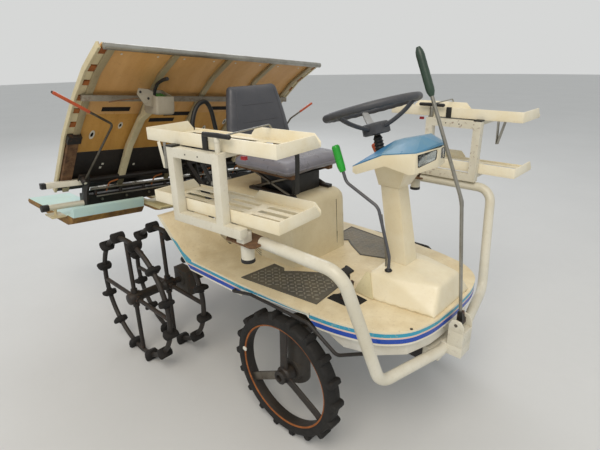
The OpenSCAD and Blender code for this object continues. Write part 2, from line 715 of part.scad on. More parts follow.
tube_end = side_tube_y - 34;
plate_y = 600;
post_line = [[-366, 862], [-252, 1038], [-106, 1192]];
box_arm = [6, 1250];
module planting_frame() color("black") leaning() {
    difference() {
        union() {
            translate([beam[0] - beam_w / 2, -plate_y, beam[1] - beam_w / 2]) cube([beam_w, 2 * plate_y, beam_w]);
            translate([beam[0] + 26, 0, lean_z]) rotate([0, 90, 0]) cylinder(h = 38, d = 70);
        }
        translate([beam[0] - 18, 0, lean_z]) rotate([0, 90, 0]) cylinder(h = 120, d = 36 + 2 * run);
    }
    cross_bar(upper_tube[0], upper_tube[1], -plate_y, plate_y, upper_tube_d);
    cross_bar(-366, 793, -plate_y, plate_y, 14);
    for (s = [right, left]) on_side(s) {
        side_plate([[-430, 712], [-350, 712], [-336, 800], [-306, 850], [-306, 902], [-366, 892], [-380, 850], [-400, 780],
            [-430, 778]], -plate_y - 12, -plate_y);
        // white side tubes and their caps
        translate([upper_tube[0] - 8, -side_tube_y, upper_tube[1] - 18])
            cube([28, side_tube_y - plate_y - 12, 28]);
        cross_bar(-392, 732, -tube_end, -plate_y - 12, 30);
        cross_bar(-392, 732, -side_tube_y, -tube_end, 36);
        // pin of the row marker
        marker_place() {
            translate([-31, 0, 0]) rotate([0, 90, 0]) cylinder(h = 47, d = 16);
            translate([-31, -20, -20]) cube([10, 50, 40]);
        }
        // skid under the end of the tube
        translate([-392, -757, 690]) cylinder(h = 40, d = 16);
        translate([-440, -792, 684]) cube([96, 70, 7]);
        // post that guides the middle rail of the platform
        band(s == right ? concat(post_line, [box_arm]) : post_line, -11, 11, -419, -385);
        side_plate([[-128, 1164], [-100, 1176], [-28, mid_rail_z - gap], [-52, mid_rail_z - gap]], -412, -392);
    }
    // seat of the control box
    translate([0, -424, 1226]) cube([12, 44, 60]);
}

module planting_cases() color("dimgray") leaning()
    for (s = [right, left]) difference() {
        union() {
            translate([rotor[0], s * case_y - 32, rotor[1] - 40])
                cube([beam[0] - beam_w / 2 - rotor[0], 64, 72]);
            cross_bar(rotor[0], rotor[1], s * case_y - 32, s * case_y + 32, 116);
            translate([beam[0] - beam_w, s * case_y - 46, beam[1] - 45]) cube([beam_w / 2, 92, 80]);
        }
        cross_bar(rotor[0], rotor[1], s * case_y - 40, s * case_y + 40, 30 + 2 * run);
    }

// Noses of the floats in side view: forward of the nose, above the underside
side_nose = [[-90, 0], [-30, 18], [-4, 52], [0, 104], [-12, 112], [-44, 76], [-110, float_t]];
centre_nose = [[-70, 0], [-20, 10], [0, 28], [-6, 38], [-60, float_t]];

module one_float(y0, y1, slots, nose) difference() {
    side_plate(concat(
        [[float_rear, float_z + 12], [float_rear + 20, float_z]],
        [for (p = nose) [float_nose + p[0], float_z + p[1]]],
        [[float_rear + 20, float_z + float_t - 8]]
    ), y0, y1);
    for (y = slots) translate([float_rear - 50, y - 46, float_z - 10]) cube([-float_rear - 400, 92, 200]);
}

module floats() color("lightblue") leaning() {
    one_float(-722, -334, [-1.5 * row_pitch + 10], side_nose);
    one_float(334, 722, [1.5 * row_pitch - 10], side_nose);
    one_float(-232, 232, [-row_pitch / 2 - 10, row_pitch / 2 + 10], centre_nose);
    for (y = [-560, -60, 60, 560])
        translate([beam[0] - 14, y - 14, float_z + float_t - 6])
            cube([28, 28, beam[1] - beam_w / 2 - float_z - float_t + 6]);
}

module control_box() color("lightgray") leaning() {
    translate([12, -450, 1228]) cube([118, 96, 108]);
    pipe([[70, -400, 1326], [70, -400, 1350], [112, -400, 1392], [172, -400, 1416]], 12);
}

module rotor_cases() color("silver") leaning() {
    for (s = [right, left]) {
        cross_bar(rotor[0], rotor[1], s * case_y - row_pitch / 2, s * case_y + row_pitch / 2, 30);
        for (t = [right, left]) {
            y = s * case_y + t * (row_pitch / 2 - 28);
            translate([rotor[0], y, rotor[1]]) rotate([90, 20, 0]) translate([-100, -32, -22]) cube([200, 64, 44]);
        }
    }
}

module planting_claws() color("gray") leaning()
    for (s = [right, left], t = [right, left], k = [0, 180]) {
        y = s * case_y + t * (row_pitch / 2 + 3);
        translate([rotor[0], y, rotor[1]]) rotate([0, 20 + k, 0]) {
            translate([50, -9, -14]) cube([60, 18, 28]);
            translate([90, -5, -12]) cube([claw_r - 91, 10, 12]);
        }
    }

// Line moved sideways, square to its run at each point
function shifted(line, off) = [for (i = [0 : len(line) - 1])
    let (a = line[max(0, i - 1)], b = line[min(len(line) - 1, i + 1)], w = (b - a) / norm(b - a))
    line[i] + [-w[1], w[0]] * off];

// Plate of even thickness that follows a line in side view
module band(line, off0, off1, y0, y1) {
    upper = shifted(line, off1);
    side_plate(concat(shifted(line, off0), [for (i = [len(upper) - 1 : -1 : 0]) upper[i]]), y0, y1);
}

module seedling_platform() color("burlywood") leaning() translate([0, platform_shift, 0]) {
    band(bed_line, 0, 8, -platform_half, platform_half);
    for (i = [-2 : 2]) band(bed_line, 7, 42, i * row_pitch - 8, i * row_pitch + 8);
    for (s = [right, left])
        band(bed_line, -10, 40, s > 0 ? platform_half : -platform_half - 12, s > 0 ? platform_half + 12 : -platform_half);
}

// Grey stiffeners on the underside and the rails the platform slides with
module platform_ribs() color("gray") leaning() translate([0, platform_shift, 0]) {
    for (i = [-2 : 2]) band(bed_line, -12, 0, i * row_pitch - 15, i * row_pitch + 15);
    translate([bed_x(mid_rail_z + 26) + 3, -platform_half + 10, mid_rail_z]) cube([32, 2 * platform_half - 20, 26]);
    // shoe that slides behind the upper tube
    shoe_x = upper_tube[0] - upper_tube_d / 2 - gap;
    side_plate([[bed_x(upper_tube[1] - 8) + gap, upper_tube[1] - 8], [bed_x(upper_tube[1] + 8) + gap, upper_tube[1] + 8],
        [shoe_x, upper_tube[1] + 8], [shoe_x, upper_tube[1] - 8]], -platform_half + 10, platform_half - 10);
    cross_bar(228, 1500, -platform_half, platform_half, 26);
}

// Folded row marker of one side
module marker_arm(side) color("black") leaning() on_side(side) marker_place() {
    translate([-20.5, 0, 0]) rotate([0, 90, 0]) difference() {
        cylinder(h = 36, d = 34);
        translate([0, 0, -1]) cylinder(h = 38, d = 16 + 2 * run);
    }
    pipe(side == right ? [[0, 2.5, 12], [0, 65, 380], [0, -229, 565]]
        : [[0, 2.5, 12], [0, -16, 380], [0, -135, 508]], 12);
}

main_frame();
engine();
transmission_case();
front_axle();
rear_axle_case();
rear_wheel_frame(right);  // rear_wheel_frame_right
rear_wheel_frame(left);  // rear_wheel_frame_left
rear_paddles(right);  // rear_paddles_right
rear_paddles(left);  // rear_paddles_left
front_drive_case(right);  // front_drive_case_right
front_drive_case(left);  // front_drive_case_left
front_rim(right);  // front_rim_right
front_rim(left);  // front_rim_left
front_tyre(right);  // front_tyre_right
front_tyre(left);  // front_tyre_left
deck();
seat_box();
front_cover();
lower_front_cover();
foot_mats();
steering_column();
console();
console_top();
headlamp();
steering_shaft();
steering_wheel();
seat_bracket();
seat_cushion();
seat_back();
control_levers();
lever_grips();
guard_pipes();
wheel_guard_pipes();
assist_lever_bracket();
assist_lever();
rack_frame(right);  // rack_frame_right
rack_frame(left);  // rack_frame_left
seedling_trays(right);  // seedling_trays_right
seedling_trays(left);  // seedling_trays_left
lower_links();
upper_link();
unit_hitch();
planting_frame();
planting_cases();
floats();
control_box();
rotor_cases();
planting_claws();
seedling_platform();
platform_ribs();
marker_arm(right);  // marker_arm_right
marker_arm(left);  // marker_arm_left
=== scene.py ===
# %% [markdown]
# # A riding rice transplanter
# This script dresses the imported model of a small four-row rice transplanter. The machine has a cream
# moulded body with blue bands, bladed rear wheels, white pipework, slatted seedling racks and a sloping
# seedling platform behind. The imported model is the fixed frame: every piece is made in metres, where the
# model says, and rides on one of its bodies.

# %% Load the frame
import json
import math

import bmesh
import bpy
from mathutils import Matrix, Vector
from mathutils.bvhtree import BVHTree


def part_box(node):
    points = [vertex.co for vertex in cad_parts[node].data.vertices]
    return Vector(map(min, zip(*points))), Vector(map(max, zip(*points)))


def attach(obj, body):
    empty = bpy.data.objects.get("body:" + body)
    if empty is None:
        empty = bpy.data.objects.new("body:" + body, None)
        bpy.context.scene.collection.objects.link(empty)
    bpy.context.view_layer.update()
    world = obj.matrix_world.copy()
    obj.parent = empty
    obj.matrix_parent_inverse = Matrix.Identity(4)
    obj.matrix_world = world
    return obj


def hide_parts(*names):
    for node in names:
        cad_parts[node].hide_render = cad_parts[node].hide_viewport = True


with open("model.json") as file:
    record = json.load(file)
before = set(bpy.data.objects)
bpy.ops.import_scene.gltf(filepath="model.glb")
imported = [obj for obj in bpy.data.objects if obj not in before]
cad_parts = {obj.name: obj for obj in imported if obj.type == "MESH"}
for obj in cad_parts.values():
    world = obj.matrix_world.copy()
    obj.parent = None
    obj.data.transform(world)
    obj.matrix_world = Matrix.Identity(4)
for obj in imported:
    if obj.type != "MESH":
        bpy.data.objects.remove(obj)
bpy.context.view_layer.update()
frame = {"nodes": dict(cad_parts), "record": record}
nodes = frame["nodes"]
record = frame["record"]
body_of = {node: body for body, members in record["behaviour"]["bodies"].items() for node in members}
slot_of = {part["node"]: part["material_slot"] for part in record["subparts"]}
scene = bpy.context.scene
MM = 0.001

# %% [markdown]
# ## Measures
# The machine was drawn forward from its rear axle, so places are written here in millimetres forward of
# that axle, to the left of the middle and above the ground. The planting unit is parked with a lean of
# five degrees, and each rack has its own origin on its pin, so both have a helper of their own.

# %% Places on the machine
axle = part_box("rear_wheel_frame_right")
REAR_AXLE_X = (axle[0].x + axle[1].x) / 2 / MM
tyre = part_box("front_tyre_right")
FRONT_AXLE = (tyre[0].x + tyre[1].x) / 2 / MM - REAR_AXLE_X
FLOOR_Z = 606
RACK_PIN_X = 925
RACK_PIN_Y = 583
RACK_TURN_DEG = 5
RIGHT, LEFT = -1, 1
SIDES = {"right": RIGHT, "left": LEFT}
LEAN_DEG = 5
LEAN = Matrix.Rotation(math.radians(-LEAN_DEG), 3, "X")
LEAN_Z = 745


def at(x, y, z):
    """A point in metres, from mm forward of the rear axle, left of the middle and above the ground."""
    return Vector(((x + REAR_AXLE_X) * MM, y * MM, z * MM))


def leaned(x, y, z):
    """The same on the planting unit, which leans to one side."""
    p = LEAN @ Vector((0, y, z - LEAN_Z))
    return at(x, p.y, p.z + LEAN_Z)


def unleaned(point):
    """Millimetres on the planting unit, from a point in metres."""
    p = LEAN.transposed() @ Vector((0, point.y / MM, point.z / MM - LEAN_Z))
    return Vector((point.x / MM - REAR_AXLE_X, p.y, p.z + LEAN_Z))


def racked(side, x, y, z):
    """A point of one rack: x forward along its trays, y inward, from the pin it swings about."""
    if side == RIGHT:
        turn = math.radians(RACK_TURN_DEG)
        return at(RACK_PIN_X + x * math.cos(turn) - y * math.sin(turn),
                  -RACK_PIN_Y + x * math.sin(turn) + y * math.cos(turn), z)
    return at(RACK_PIN_X - x, RACK_PIN_Y + y, z)


def in_mm(point):
    """Millimetres on the machine, from a point in metres."""
    return Vector((point.x / MM - REAR_AXLE_X, point.y / MM, point.z / MM))


print("rear axle at", round(REAR_AXLE_X), "front axle", round(FRONT_AXLE), "mm ahead of it")

# %% [markdown]
# ## Camera
# The camera stands at the front right corner of the machine, at about a person's eye height. Its place,
# turn and field of view were fitted to the wheels, the platform, the racks and the steering wheel.

# %% Place the camera
EYE = (2048.7, -1514.4, 1527.4)
LOOK_DEG = {"yaw": 133.08, "pitch": 21.02, "roll": -1.06}
PHOTO_WIDTH_PX = 600
FOCAL_PX = 452.24
SENSOR_MM = 36
camera_data = bpy.data.cameras.new("camera")
camera = bpy.data.objects.new("camera", camera_data)
scene.collection.objects.link(camera)
scene.camera = camera
camera.location = at(*EYE)
yaw, pitch, roll = (math.radians(a) for a in LOOK_DEG.values())
forward = Vector((math.cos(yaw) * math.cos(pitch), math.sin(yaw) * math.cos(pitch), -math.sin(pitch)))
across = forward.cross(Vector((0, 0, 1))).normalized()
upward = across.cross(forward)
right_hand = across * math.cos(roll) + upward * math.sin(roll)
up_hand = -across * math.sin(roll) + upward * math.cos(roll)
camera.rotation_euler = Matrix((right_hand, up_hand, -forward)).transposed().to_euler()
camera_data.sensor_width = SENSOR_MM
camera_data.lens = SENSOR_MM * FOCAL_PX / PHOTO_WIDTH_PX
camera_data.clip_start = 0.01
print("camera at", [round(v, 3) for v in camera.location])

# %% [markdown]
# ## Materials
# Colours are written as sRGB hex values and turned to the linear values that the shader works with. One
# function adds a node. A second one builds what almost every finish here needs: patches of a given size in
# millimetres, made from noise in the object's own space and a ramp.

# %% Colour and nodes
def linear(hex_value):
    """An sRGB hex colour as linear red, green, blue and alpha."""
    parts = [int(hex_value[i : i + 2], 16) / 255 for i in (1, 3, 5)]
    return tuple(c / 12.92 if c <= 0.04045 else ((c + 0.055) / 1.055) ** 2.4 for c in parts) + (1.0,)


def add(tree, kind, links=None, stops=None, **settings):
    """Adds one node. links gives an input a value or another node's output, stops sets a colour ramp."""
    n = tree.nodes.new("ShaderNode" + kind)
    for key, value in settings.items():
        setattr(n, key, value)
    for key, value in (links or {}).items():
        if isinstance(value, bpy.types.NodeSocket):
            tree.links.new(value, n.inputs[key])
        else:
            n.inputs[key].default_value = value
    for i, (place, shade) in enumerate(stops or []):
        element = n.color_ramp.elements[i] if i < 2 else n.color_ramp.elements.new(place)
        element.position = place
        element.color = (shade, shade, shade, 1)
    return n


def patches(tree, size_mm, low, high, reach=1.0, detail=4, stretch=(1, 1, 1)):
    """Patches size_mm across: 0 where the noise is under low, reach where it is over high."""
    where = add(tree, "TexCoord").outputs["Object"]
    where = add(tree, "Mapping", {"Vector": where, "Scale": stretch}).outputs[0]
    noise = add(tree, "TexNoise", {"Vector": where, "Scale": 1000 / size_mm, "Detail": detail,
                                   "Roughness": 0.62})
    return add(tree, "ValToRGB", {"Fac": noise.outputs["Fac"]}, [(low, 0), (high, reach)]).outputs[0]


print("white is", linear("#ffffff"), "and mid grey", [round(c, 3) for c in linear("#808080")])

# %% [markdown]
# ### One way to age a finish
# The machine has worked in mud for years. Whatever the material, its colour drifts slowly to a tint, fine
# specks of dirt stick to it, and dust settles on what faces up. Enamel also chips where an edge is worked,
# and shows rust there. So one recipe serves all, and each finish gives it the real material's numbers.

# %% The weathered recipe
SPECK_MM = 11
DUST_MM = 70
CHIP_MM = 18
GLOSS_MM = 40


def weathered(name, base, tint, dirt, roughness, ior=1.5, metallic=0.0, dust=0.4, specks=0.35,
              blotch_mm=160, grain_mm=2.5, grain_depth_mm=0.06, chips=0.0, rust="#6b3a1c",
              stretch=(1, 1, 1)):
    """A finish whose colour drifts from base to tint, with dirt in specks and as dust on what faces up."""
    material = bpy.data.materials.new(name)
    material.use_nodes = True
    tree = material.node_tree
    shader = tree.nodes["Principled BSDF"]
    if metallic:
        shader.inputs["Metallic"].default_value = metallic
    else:
        shader.inputs["IOR"].default_value = ior
    slow = patches(tree, blotch_mm, 0.36, 0.68, 1, 5, stretch)
    colour = add(tree, "Mix", {0: slow, 6: linear(base), 7: linear(tint)}, data_type="RGBA").outputs[2]
    fine = patches(tree, SPECK_MM, 0.57, 0.74, specks)
    colour = add(tree, "Mix", {0: fine, 6: colour, 7: linear(dirt)}, data_type="RGBA").outputs[2]
    normal = add(tree, "NewGeometry").outputs["Normal"]
    height = add(tree, "SeparateXYZ", {"Vector": normal}).outputs["Z"]
    level = add(tree, "MapRange", {"Value": height, "From Min": 0.3, "From Max": 0.95,
                                   "To Max": dust}).outputs[0]
    film = add(tree, "Math", {0: level, 1: patches(tree, DUST_MM, 0.3, 0.7, 1, 6)},
               operation="MULTIPLY").outputs[0]
    colour = add(tree, "Mix", {0: film, 6: colour, 7: linear(dirt)}, data_type="RGBA").outputs[2]
    if chips:
        edge = add(tree, "NewGeometry").outputs["Pointiness"]
        worn = add(tree, "ValToRGB", {"Fac": edge}, [(0.53, 0.02), (0.62, 1)]).outputs[0]
        spots = patches(tree, CHIP_MM, 0.6 - chips * 0.2, 0.7 - chips * 0.2, 1, 6)
        chip = add(tree, "Math", {0: worn, 1: spots}, operation="MULTIPLY").outputs[0]
        colour = add(tree, "Mix", {0: chip, 6: colour, 7: linear(rust)}, data_type="RGBA").outputs[2]
    tree.links.new(colour, shader.inputs["Base Color"])
    gloss = add(tree, "MapRange", {"Value": patches(tree, GLOSS_MM, 0.3, 0.7),
                                   "To Min": max(0.05, roughness - 0.08),
                                   "To Max": min(1, roughness + 0.12)}).outputs[0]
    tree.links.new(gloss, shader.inputs["Roughness"])
    bump = add(tree, "Bump", {"Height": patches(tree, grain_mm, 0.3, 0.7), "Distance": grain_depth_mm * MM,
                              "Strength": 0.6})
    tree.links.new(bump.outputs[0], shader.inputs["Normal"])
    return material


print("recipe ready for", len(slot_of), "nodes")

# %% [markdown]
# ### Mouldings
# The body is ABS, moulded in a warm cream: IOR 1.54, once glossy, now satin, with a faint orange peel that
# breaks its highlights. The floor of the deck is dustier than its sides. The trays are polypropylene, IOR
# 1.49, waxier and yellowed. The floats are blow-moulded polyethylene.

# %% Moulded plastics
cream_abs = weathered("cream_abs_moulding", "#e6dcc0", "#dfd1ae", "#b39d74", 0.4, 1.54, dust=0.18,
                      specks=0.15)
floor_abs = weathered("dusty_cream_abs_floor", "#e9dab6", "#dbc89f", "#a88f64", 0.5, 1.54, dust=0.25,
                      specks=0.35, blotch_mm=90, grain_mm=5, grain_depth_mm=0.25)
box_side_abs = weathered("aged_cream_abs", "#dccfad", "#d1c19b", "#978259", 0.42, 1.54, dust=0.25,
                         specks=0.2)
yellowed_abs = weathered("yellowed_abs_panel", "#d6cba4", "#cbbe93", "#97835a", 0.45, 1.54, dust=0.2)
white_abs = weathered("white_abs_moulding", "#e6e3d8", "#dad4c2", "#a3957a", 0.4, 1.54, dust=0.25,
                      specks=0.25)
tray_pp = weathered("tray_polypropylene", "#ece4cd", "#e4d8b8", "#c6ad7e", 0.45, 1.49, dust=0.2, specks=0.2,
                    blotch_mm=120)
blue_abs = weathered("blue_abs_moulding", "#4d83a6", "#5b89a0", "#8e9a8c", 0.35, 1.54, dust=0.35,
                     specks=0.2)
deep_blue_abs = weathered("deep_blue_abs_moulding", "#1f6e9e", "#2a769f", "#7d9696", 0.32, 1.54, dust=0.2)
float_pe = weathered("float_polyethylene", "#b3cfcb", "#bcd3c6", "#9fae8e", 0.42, 1.51, dust=0.2,
                     specks=0.3)
yellow_pe = weathered("yellowed_polyethylene", "#ddd0a0", "#cfc08a", "#8b7a3e", 0.45, 1.51, dust=0.3,
                      specks=0.5)
muddy_pe = weathered("muddy_polyethylene", "#6b4a20", "#a07a34", "#3a2812", 0.7, 1.51, dust=0.2, specks=0.7,
                     blotch_mm=60, grain_mm=8, grain_depth_mm=0.6)
control_abs = weathered("grey_abs_box", "#a09682", "#8d836f", "#6a5f4a", 0.45, 1.54, dust=0.35)
black_pp = weathered("black_polypropylene", "#151414", "#1c1a18", "#3f362b", 0.48, 1.49, dust=0.2)
print("mouldings made")

# %% [markdown]
# ### Steel and alloy
# The pipes and rack frames are steel tube with white stoving enamel, IOR 1.5 and smooth. Links, beams and
# wheels are black enamel that has chipped and taken up mud. Rods are zinc plated: a metal, dulled to grey.
# Where paint has gone the steel is matt brown rust in flakes.

# %% Painted, plated and rusty metal
white_enamel = weathered("white_enamel_on_steel", "#dad5c4", "#cfc8b2", "#a08f70", 0.34, dust=0.3,
                         specks=0.2, grain_mm=6, grain_depth_mm=0.04, chips=0.05)
black_enamel = weathered("black_enamel_on_steel", "#171513", "#211c18", "#433627", 0.48, dust=0.25,
                         specks=0.4, chips=0.35, rust="#4a2b18")
wheel_enamel = weathered("black_wheel_enamel", "#1b1816", "#2a241e", "#4a3c2b", 0.52, dust=0.4, specks=0.5,
                         chips=0.4, rust="#4c2f1a")
grey_enamel = weathered("grey_enamel_on_steel", "#8b8474", "#776f5e", "#5f5038", 0.45, dust=0.3, specks=0.4,
                        chips=0.4, rust="#5f4026")
lever_enamel = weathered("dark_grey_enamel_rod", "#55575c", "#4a4b50", "#6d6556", 0.35, dust=0.3,
                         chips=0.25)
cast_grey = weathered("grey_painted_casting", "#33302c", "#3f3931", "#55462f", 0.6, dust=0.3, specks=0.5,
                      grain_mm=4, grain_depth_mm=0.3, chips=0.2)
cream_enamel = weathered("cream_enamel_on_steel", "#d0c49f", "#bfb18b", "#7c6a46", 0.5, dust=0.3,
                         specks=0.3, chips=0.1)
zinc_steel = weathered("zinc_plated_steel", "#a9a79f", "#8c887e", "#5d5242", 0.36, metallic=1.0, dust=0.2,
                       specks=0.5, grain_depth_mm=0.03)
dull_steel = weathered("worn_bare_steel", "#7c776e", "#5f594f", "#4b3a28", 0.48, metallic=1.0, dust=0.3,
                       specks=0.7)
alloy = weathered("cast_aluminium_alloy", "#a5a39c", "#8a877f", "#5a5140", 0.5, metallic=1.0, dust=0.4,
                  specks=0.5, grain_mm=3, grain_depth_mm=0.2)
rust_steel = weathered("rusty_steel", "#7a5a3c", "#4c3422", "#2f2117", 0.85, dust=0.2, specks=0.8,
                       blotch_mm=35, grain_mm=7, grain_depth_mm=0.5)
orange_rust = weathered("fresh_orange_rust", "#a4622c", "#7f4620", "#4d2c15", 0.85, dust=0.2, specks=0.7,
                        blotch_mm=40, grain_mm=7, grain_depth_mm=0.4)
print("metals made")

# %% [markdown]
# ### Rubber, vinyl, grips and tape
# Rubber is a dark matt material with dry mud in its corners. Seat vinyl has a pebbled grain embossed at the
# works: about 1 mm on the real seat, drawn at 2.4 mm because a finer one does not show at this distance.
# The grips are dipped PVC. The bands on the skirt are printed tape, scuffed through in places.

# %% Soft and glossy finishes
tyre_rubber = weathered("tyre_rubber", "#0e0d0c", "#17140f", "#3a3028", 0.72, dust=0.15, specks=0.3,
                        blotch_mm=50, grain_mm=6, grain_depth_mm=0.35)
paddle_rubber = weathered("paddle_rubber", "#0d0c0b", "#1a1511", "#382d22", 0.78, dust=0.15, specks=0.35,
                          blotch_mm=45, grain_mm=7, grain_depth_mm=0.4)
hose_rubber = weathered("hose_rubber", "#151515", "#1f1e1c", "#4a4338", 0.45, dust=0.25)
seat_vinyl = weathered("grey_seat_vinyl", "#716f76", "#7a787f", "#938a80", 0.3, 1.52, dust=0.3, specks=0.15,
                       grain_mm=2.4, grain_depth_mm=0.2)
back_vinyl = weathered("dark_seat_vinyl", "#3f4045", "#4a4a4e", "#6d675f", 0.42, 1.52, dust=0.3,
                       specks=0.15, grain_mm=2.4, grain_depth_mm=0.2)
wheel_vinyl = weathered("steering_rim_vinyl", "#3b3d42", "#47484c", "#6d675c", 0.45, 1.52, dust=0.4,
                        grain_mm=3)
wheel_grey = weathered("pale_grey_plastic", "#9c9c9a", "#8b8b88", "#6d675c", 0.45, dust=0.3)
green_pvc = weathered("green_pvc_grip", "#23a52f", "#1f982a", "#6b7a3c", 0.3, 1.52, dust=0.2, specks=0.1)
dark_green_pvc = weathered("dark_green_pvc_grip", "#26382c", "#2f4636", "#4f5544", 0.4, 1.52, dust=0.2)
orange_pvc = weathered("orange_pvc_grip", "#cf5f3a", "#bd5230", "#8a6a4c", 0.35, 1.52, dust=0.2,
                       specks=0.15)
red_plastic = weathered("red_plastic_cap", "#b3202a", "#a01d24", "#7a4a40", 0.35, dust=0.15)
white_nylon = weathered("white_nylon", "#dcd8cc", "#cfc9b8", "#968a72", 0.4, 1.53, dust=0.2)
teal_tape = weathered("teal_tape", "#2597bb", "#3f9cb0", "#c9b98e", 0.35, dust=0.2, specks=0.9, grain_mm=20)
blue_tape = weathered("royal_blue_tape", "#1745ae", "#1f49a4", "#6e7a94", 0.32, dust=0.1, specks=0.15,
                      grain_mm=20)
pink_tape = weathered("pink_tape", "#eeb1ad", "#e6a9a6", "#d0b498", 0.35, dust=0.2, specks=0.3, grain_mm=20)
white_tape = weathered("white_tape", "#eae8df", "#e0dbcb", "#c2b08a", 0.35, dust=0.2, specks=0.4,
                       grain_mm=20)
mat_rubber = weathered("foot_mat_rubber", "#78746a", "#6d6a62", "#a08c66", 0.6, dust=0.4, specks=0.4,
                       blotch_mm=60)
mat_bar_rubber = weathered("foot_mat_raised_bars", "#807c70", "#757167", "#a6946e", 0.5, dust=0.35,
                           specks=0.4)
mat_edge_rubber = weathered("foot_mat_edge", "#4e4c46", "#45433e", "#7d7156", 0.55, dust=0.4)
seam_shadow = weathered("seam_shadow", "#3a3226", "#30291f", "#2a2219", 0.9, dust=0.0)
# Painted shade: a near-black finish laid where a slot, hole or open well would be in shade.
painted_opening_shade = weathered("painted_shade_of_openings", "#0f0d0b", "#161310", "#1c1712", 0.9, dust=0.0)
print("soft finishes made")

# %% [markdown]
# ### Platform sheet
# The platform is sheet plastic, tan on the side that shows. Mud and water ran down it, so its patches are
# stretched along the slope.

# %% Streaked sheet
down_slope = (0.35, 1.6, 0.35)
platform_tan = weathered("tan_platform_sheet", "#d3a468", "#c69555", "#8a6338", 0.5, 1.49, dust=0.15,
                         specks=0.3, blotch_mm=110, stretch=down_slope)
platform_ochre = weathered("ochre_platform_sheet", "#c8964a", "#b9863c", "#7b5526", 0.5, 1.49, dust=0.15,
                           specks=0.35, blotch_mm=90, stretch=down_slope)
platform_rib = weathered("grey_brown_stiffener", "#a89a78", "#978865", "#6b5636", 0.5, dust=0.15,
                         specks=0.4, blotch_mm=90, stretch=down_slope)
platform_black = weathered("black_platform_sheet", "#171311", "#221c17", "#40301e", 0.6, 1.49, dust=0.1,
                           specks=0.4, blotch_mm=80, stretch=down_slope)
platform_cream = weathered("cream_platform_face", "#d8cba6", "#c9ba90", "#98804f", 0.45, 1.49, dust=0.3,
                           specks=0.4)
print("platform sheets made")

# %% [markdown]
# ### Lamp lens and reflector
# The lens is clear acrylic, IOR 1.49, moulded with upright flutes that spread the light. The real ones are
# about 7 mm apart. They are drawn six times as wide, because finer ones do not show at this distance.

# %% Lamp lens and reflector
FLUTE_MM = 44
WAVE_PER_UNIT = 20 / (2 * math.pi)
lamp_lens = bpy.data.materials.new("clear_acrylic_lens")
lamp_lens.use_nodes = True
lens_tree = lamp_lens.node_tree
lens_shader = lens_tree.nodes["Principled BSDF"]
lens_shader.inputs["Base Color"].default_value = linear("#f0f3f2")
lens_shader.inputs["Transmission Weight"].default_value = 1.0
lens_shader.inputs["IOR"].default_value = 1.49
lens_shader.inputs["Roughness"].default_value = 0.06
lens_where = add(lens_tree, "TexCoord").outputs["Object"]
flutes = add(lens_tree, "TexWave", {"Vector": lens_where, "Scale": 1000 / FLUTE_MM / WAVE_PER_UNIT},
             bands_direction="Y")
lens_bump = add(lens_tree, "Bump", {"Height": flutes.outputs["Fac"], "Distance": 0.6 * MM, "Strength": 0.4})
lens_tree.links.new(lens_bump.outputs[0], lens_shader.inputs["Normal"])
reflector = weathered("aluminised_reflector", "#dededa", "#cacac6", "#8d8b84", 0.16, metallic=1.0, dust=0.0,
                      specks=0.1)
print("finishes made:", len(bpy.data.materials))

# %% [markdown]
# ## Floor and light
# A wide pale floor and an even pale sky stand for a photographer's studio. The sky and two large lamps
# together give a level at which a colour renders about as it is written. The camera, gloss and glass see a
# pale background, whatever the sky's own strength is.

# %% Studio floor
FLOOR_RADIUS_M = 30
floor_bm = bmesh.new()
bmesh.ops.create_circle(floor_bm, cap_ends=True, radius=FLOOR_RADIUS_M, segments=96)
floor_mesh = bpy.data.meshes.new("studio_floor")
floor_bm.to_mesh(floor_mesh)
floor_bm.free()
studio_floor = bpy.data.objects.new("studio_floor", floor_mesh)
scene.collection.objects.link(studio_floor)
floor_mesh.materials.append(weathered("pale_studio_floor", "#d0cfcb", "#cdccc8", "#c6c4bf", 0.85, dust=0.05,
                                      specks=0.1, blotch_mm=900))
print("floor reaches", FLOOR_RADIUS_M, "m")

# %% [markdown]
# The sky lights the object evenly. What the camera, gloss and glass see is a second, plain background that
# the Light Path node picks, so that metal and lenses show the same pale studio as the picture.

# %% Sky
world = bpy.data.worlds.new("studio_sky")
world.use_nodes = True
scene.world = world
sky_tree = world.node_tree
sky_tree.nodes.clear()
rays = add(sky_tree, "LightPath")
seen = add(sky_tree, "Math", {0: rays.outputs["Is Camera Ray"], 1: rays.outputs["Is Transmission Ray"]},
           operation="MAXIMUM")
seen = add(sky_tree, "Math", {0: seen.outputs[0], 1: rays.outputs["Is Glossy Ray"]}, operation="MAXIMUM")
lit = add(sky_tree, "Background", {"Color": linear("#eaeef2"), "Strength": 0.78})
shown = add(sky_tree, "Background", {"Color": linear("#d6d7d6"), "Strength": 1.0})
sky = add(sky_tree, "MixShader", {0: seen.outputs[0], 1: lit.outputs[0], 2: shown.outputs[0]})
add(sky_tree, "OutputWorld", {"Surface": sky.outputs[0]})
print("sky has", len(sky_tree.nodes), "nodes")

# %% [markdown]
# Two round lamps stand for softboxes: a warm key light in front on the right, and a cooler, weaker one
# behind on the left, which keeps the far side from going flat.

# %% Lamps
def softbox(name, x, y, z, size_m, watts, colour):
    """A round area lamp that looks at the middle of the machine."""
    lamp = bpy.data.lights.new(name, "AREA")
    lamp.shape = "DISK"
    lamp.size = size_m
    lamp.energy = watts
    lamp.color = linear(colour)[:3]
    box = bpy.data.objects.new(name, lamp)
    scene.collection.objects.link(box)
    box.location = (x, y, z)
    box.rotation_euler = (Vector((0, 0, 0.7)) - box.location).to_track_quat("-Z", "Y").to_euler()


softbox("key_light", 2.5, -3.5, 5.5, 4.0, 205, "#fff6ea")
softbox("fill_light", -4.5, 3.0, 4.5, 4.0, 120, "#f2f6ff")
scene.view_settings.view_transform = "Standard"
print("studio lit by", len(bpy.data.lights), "lamps and the sky")

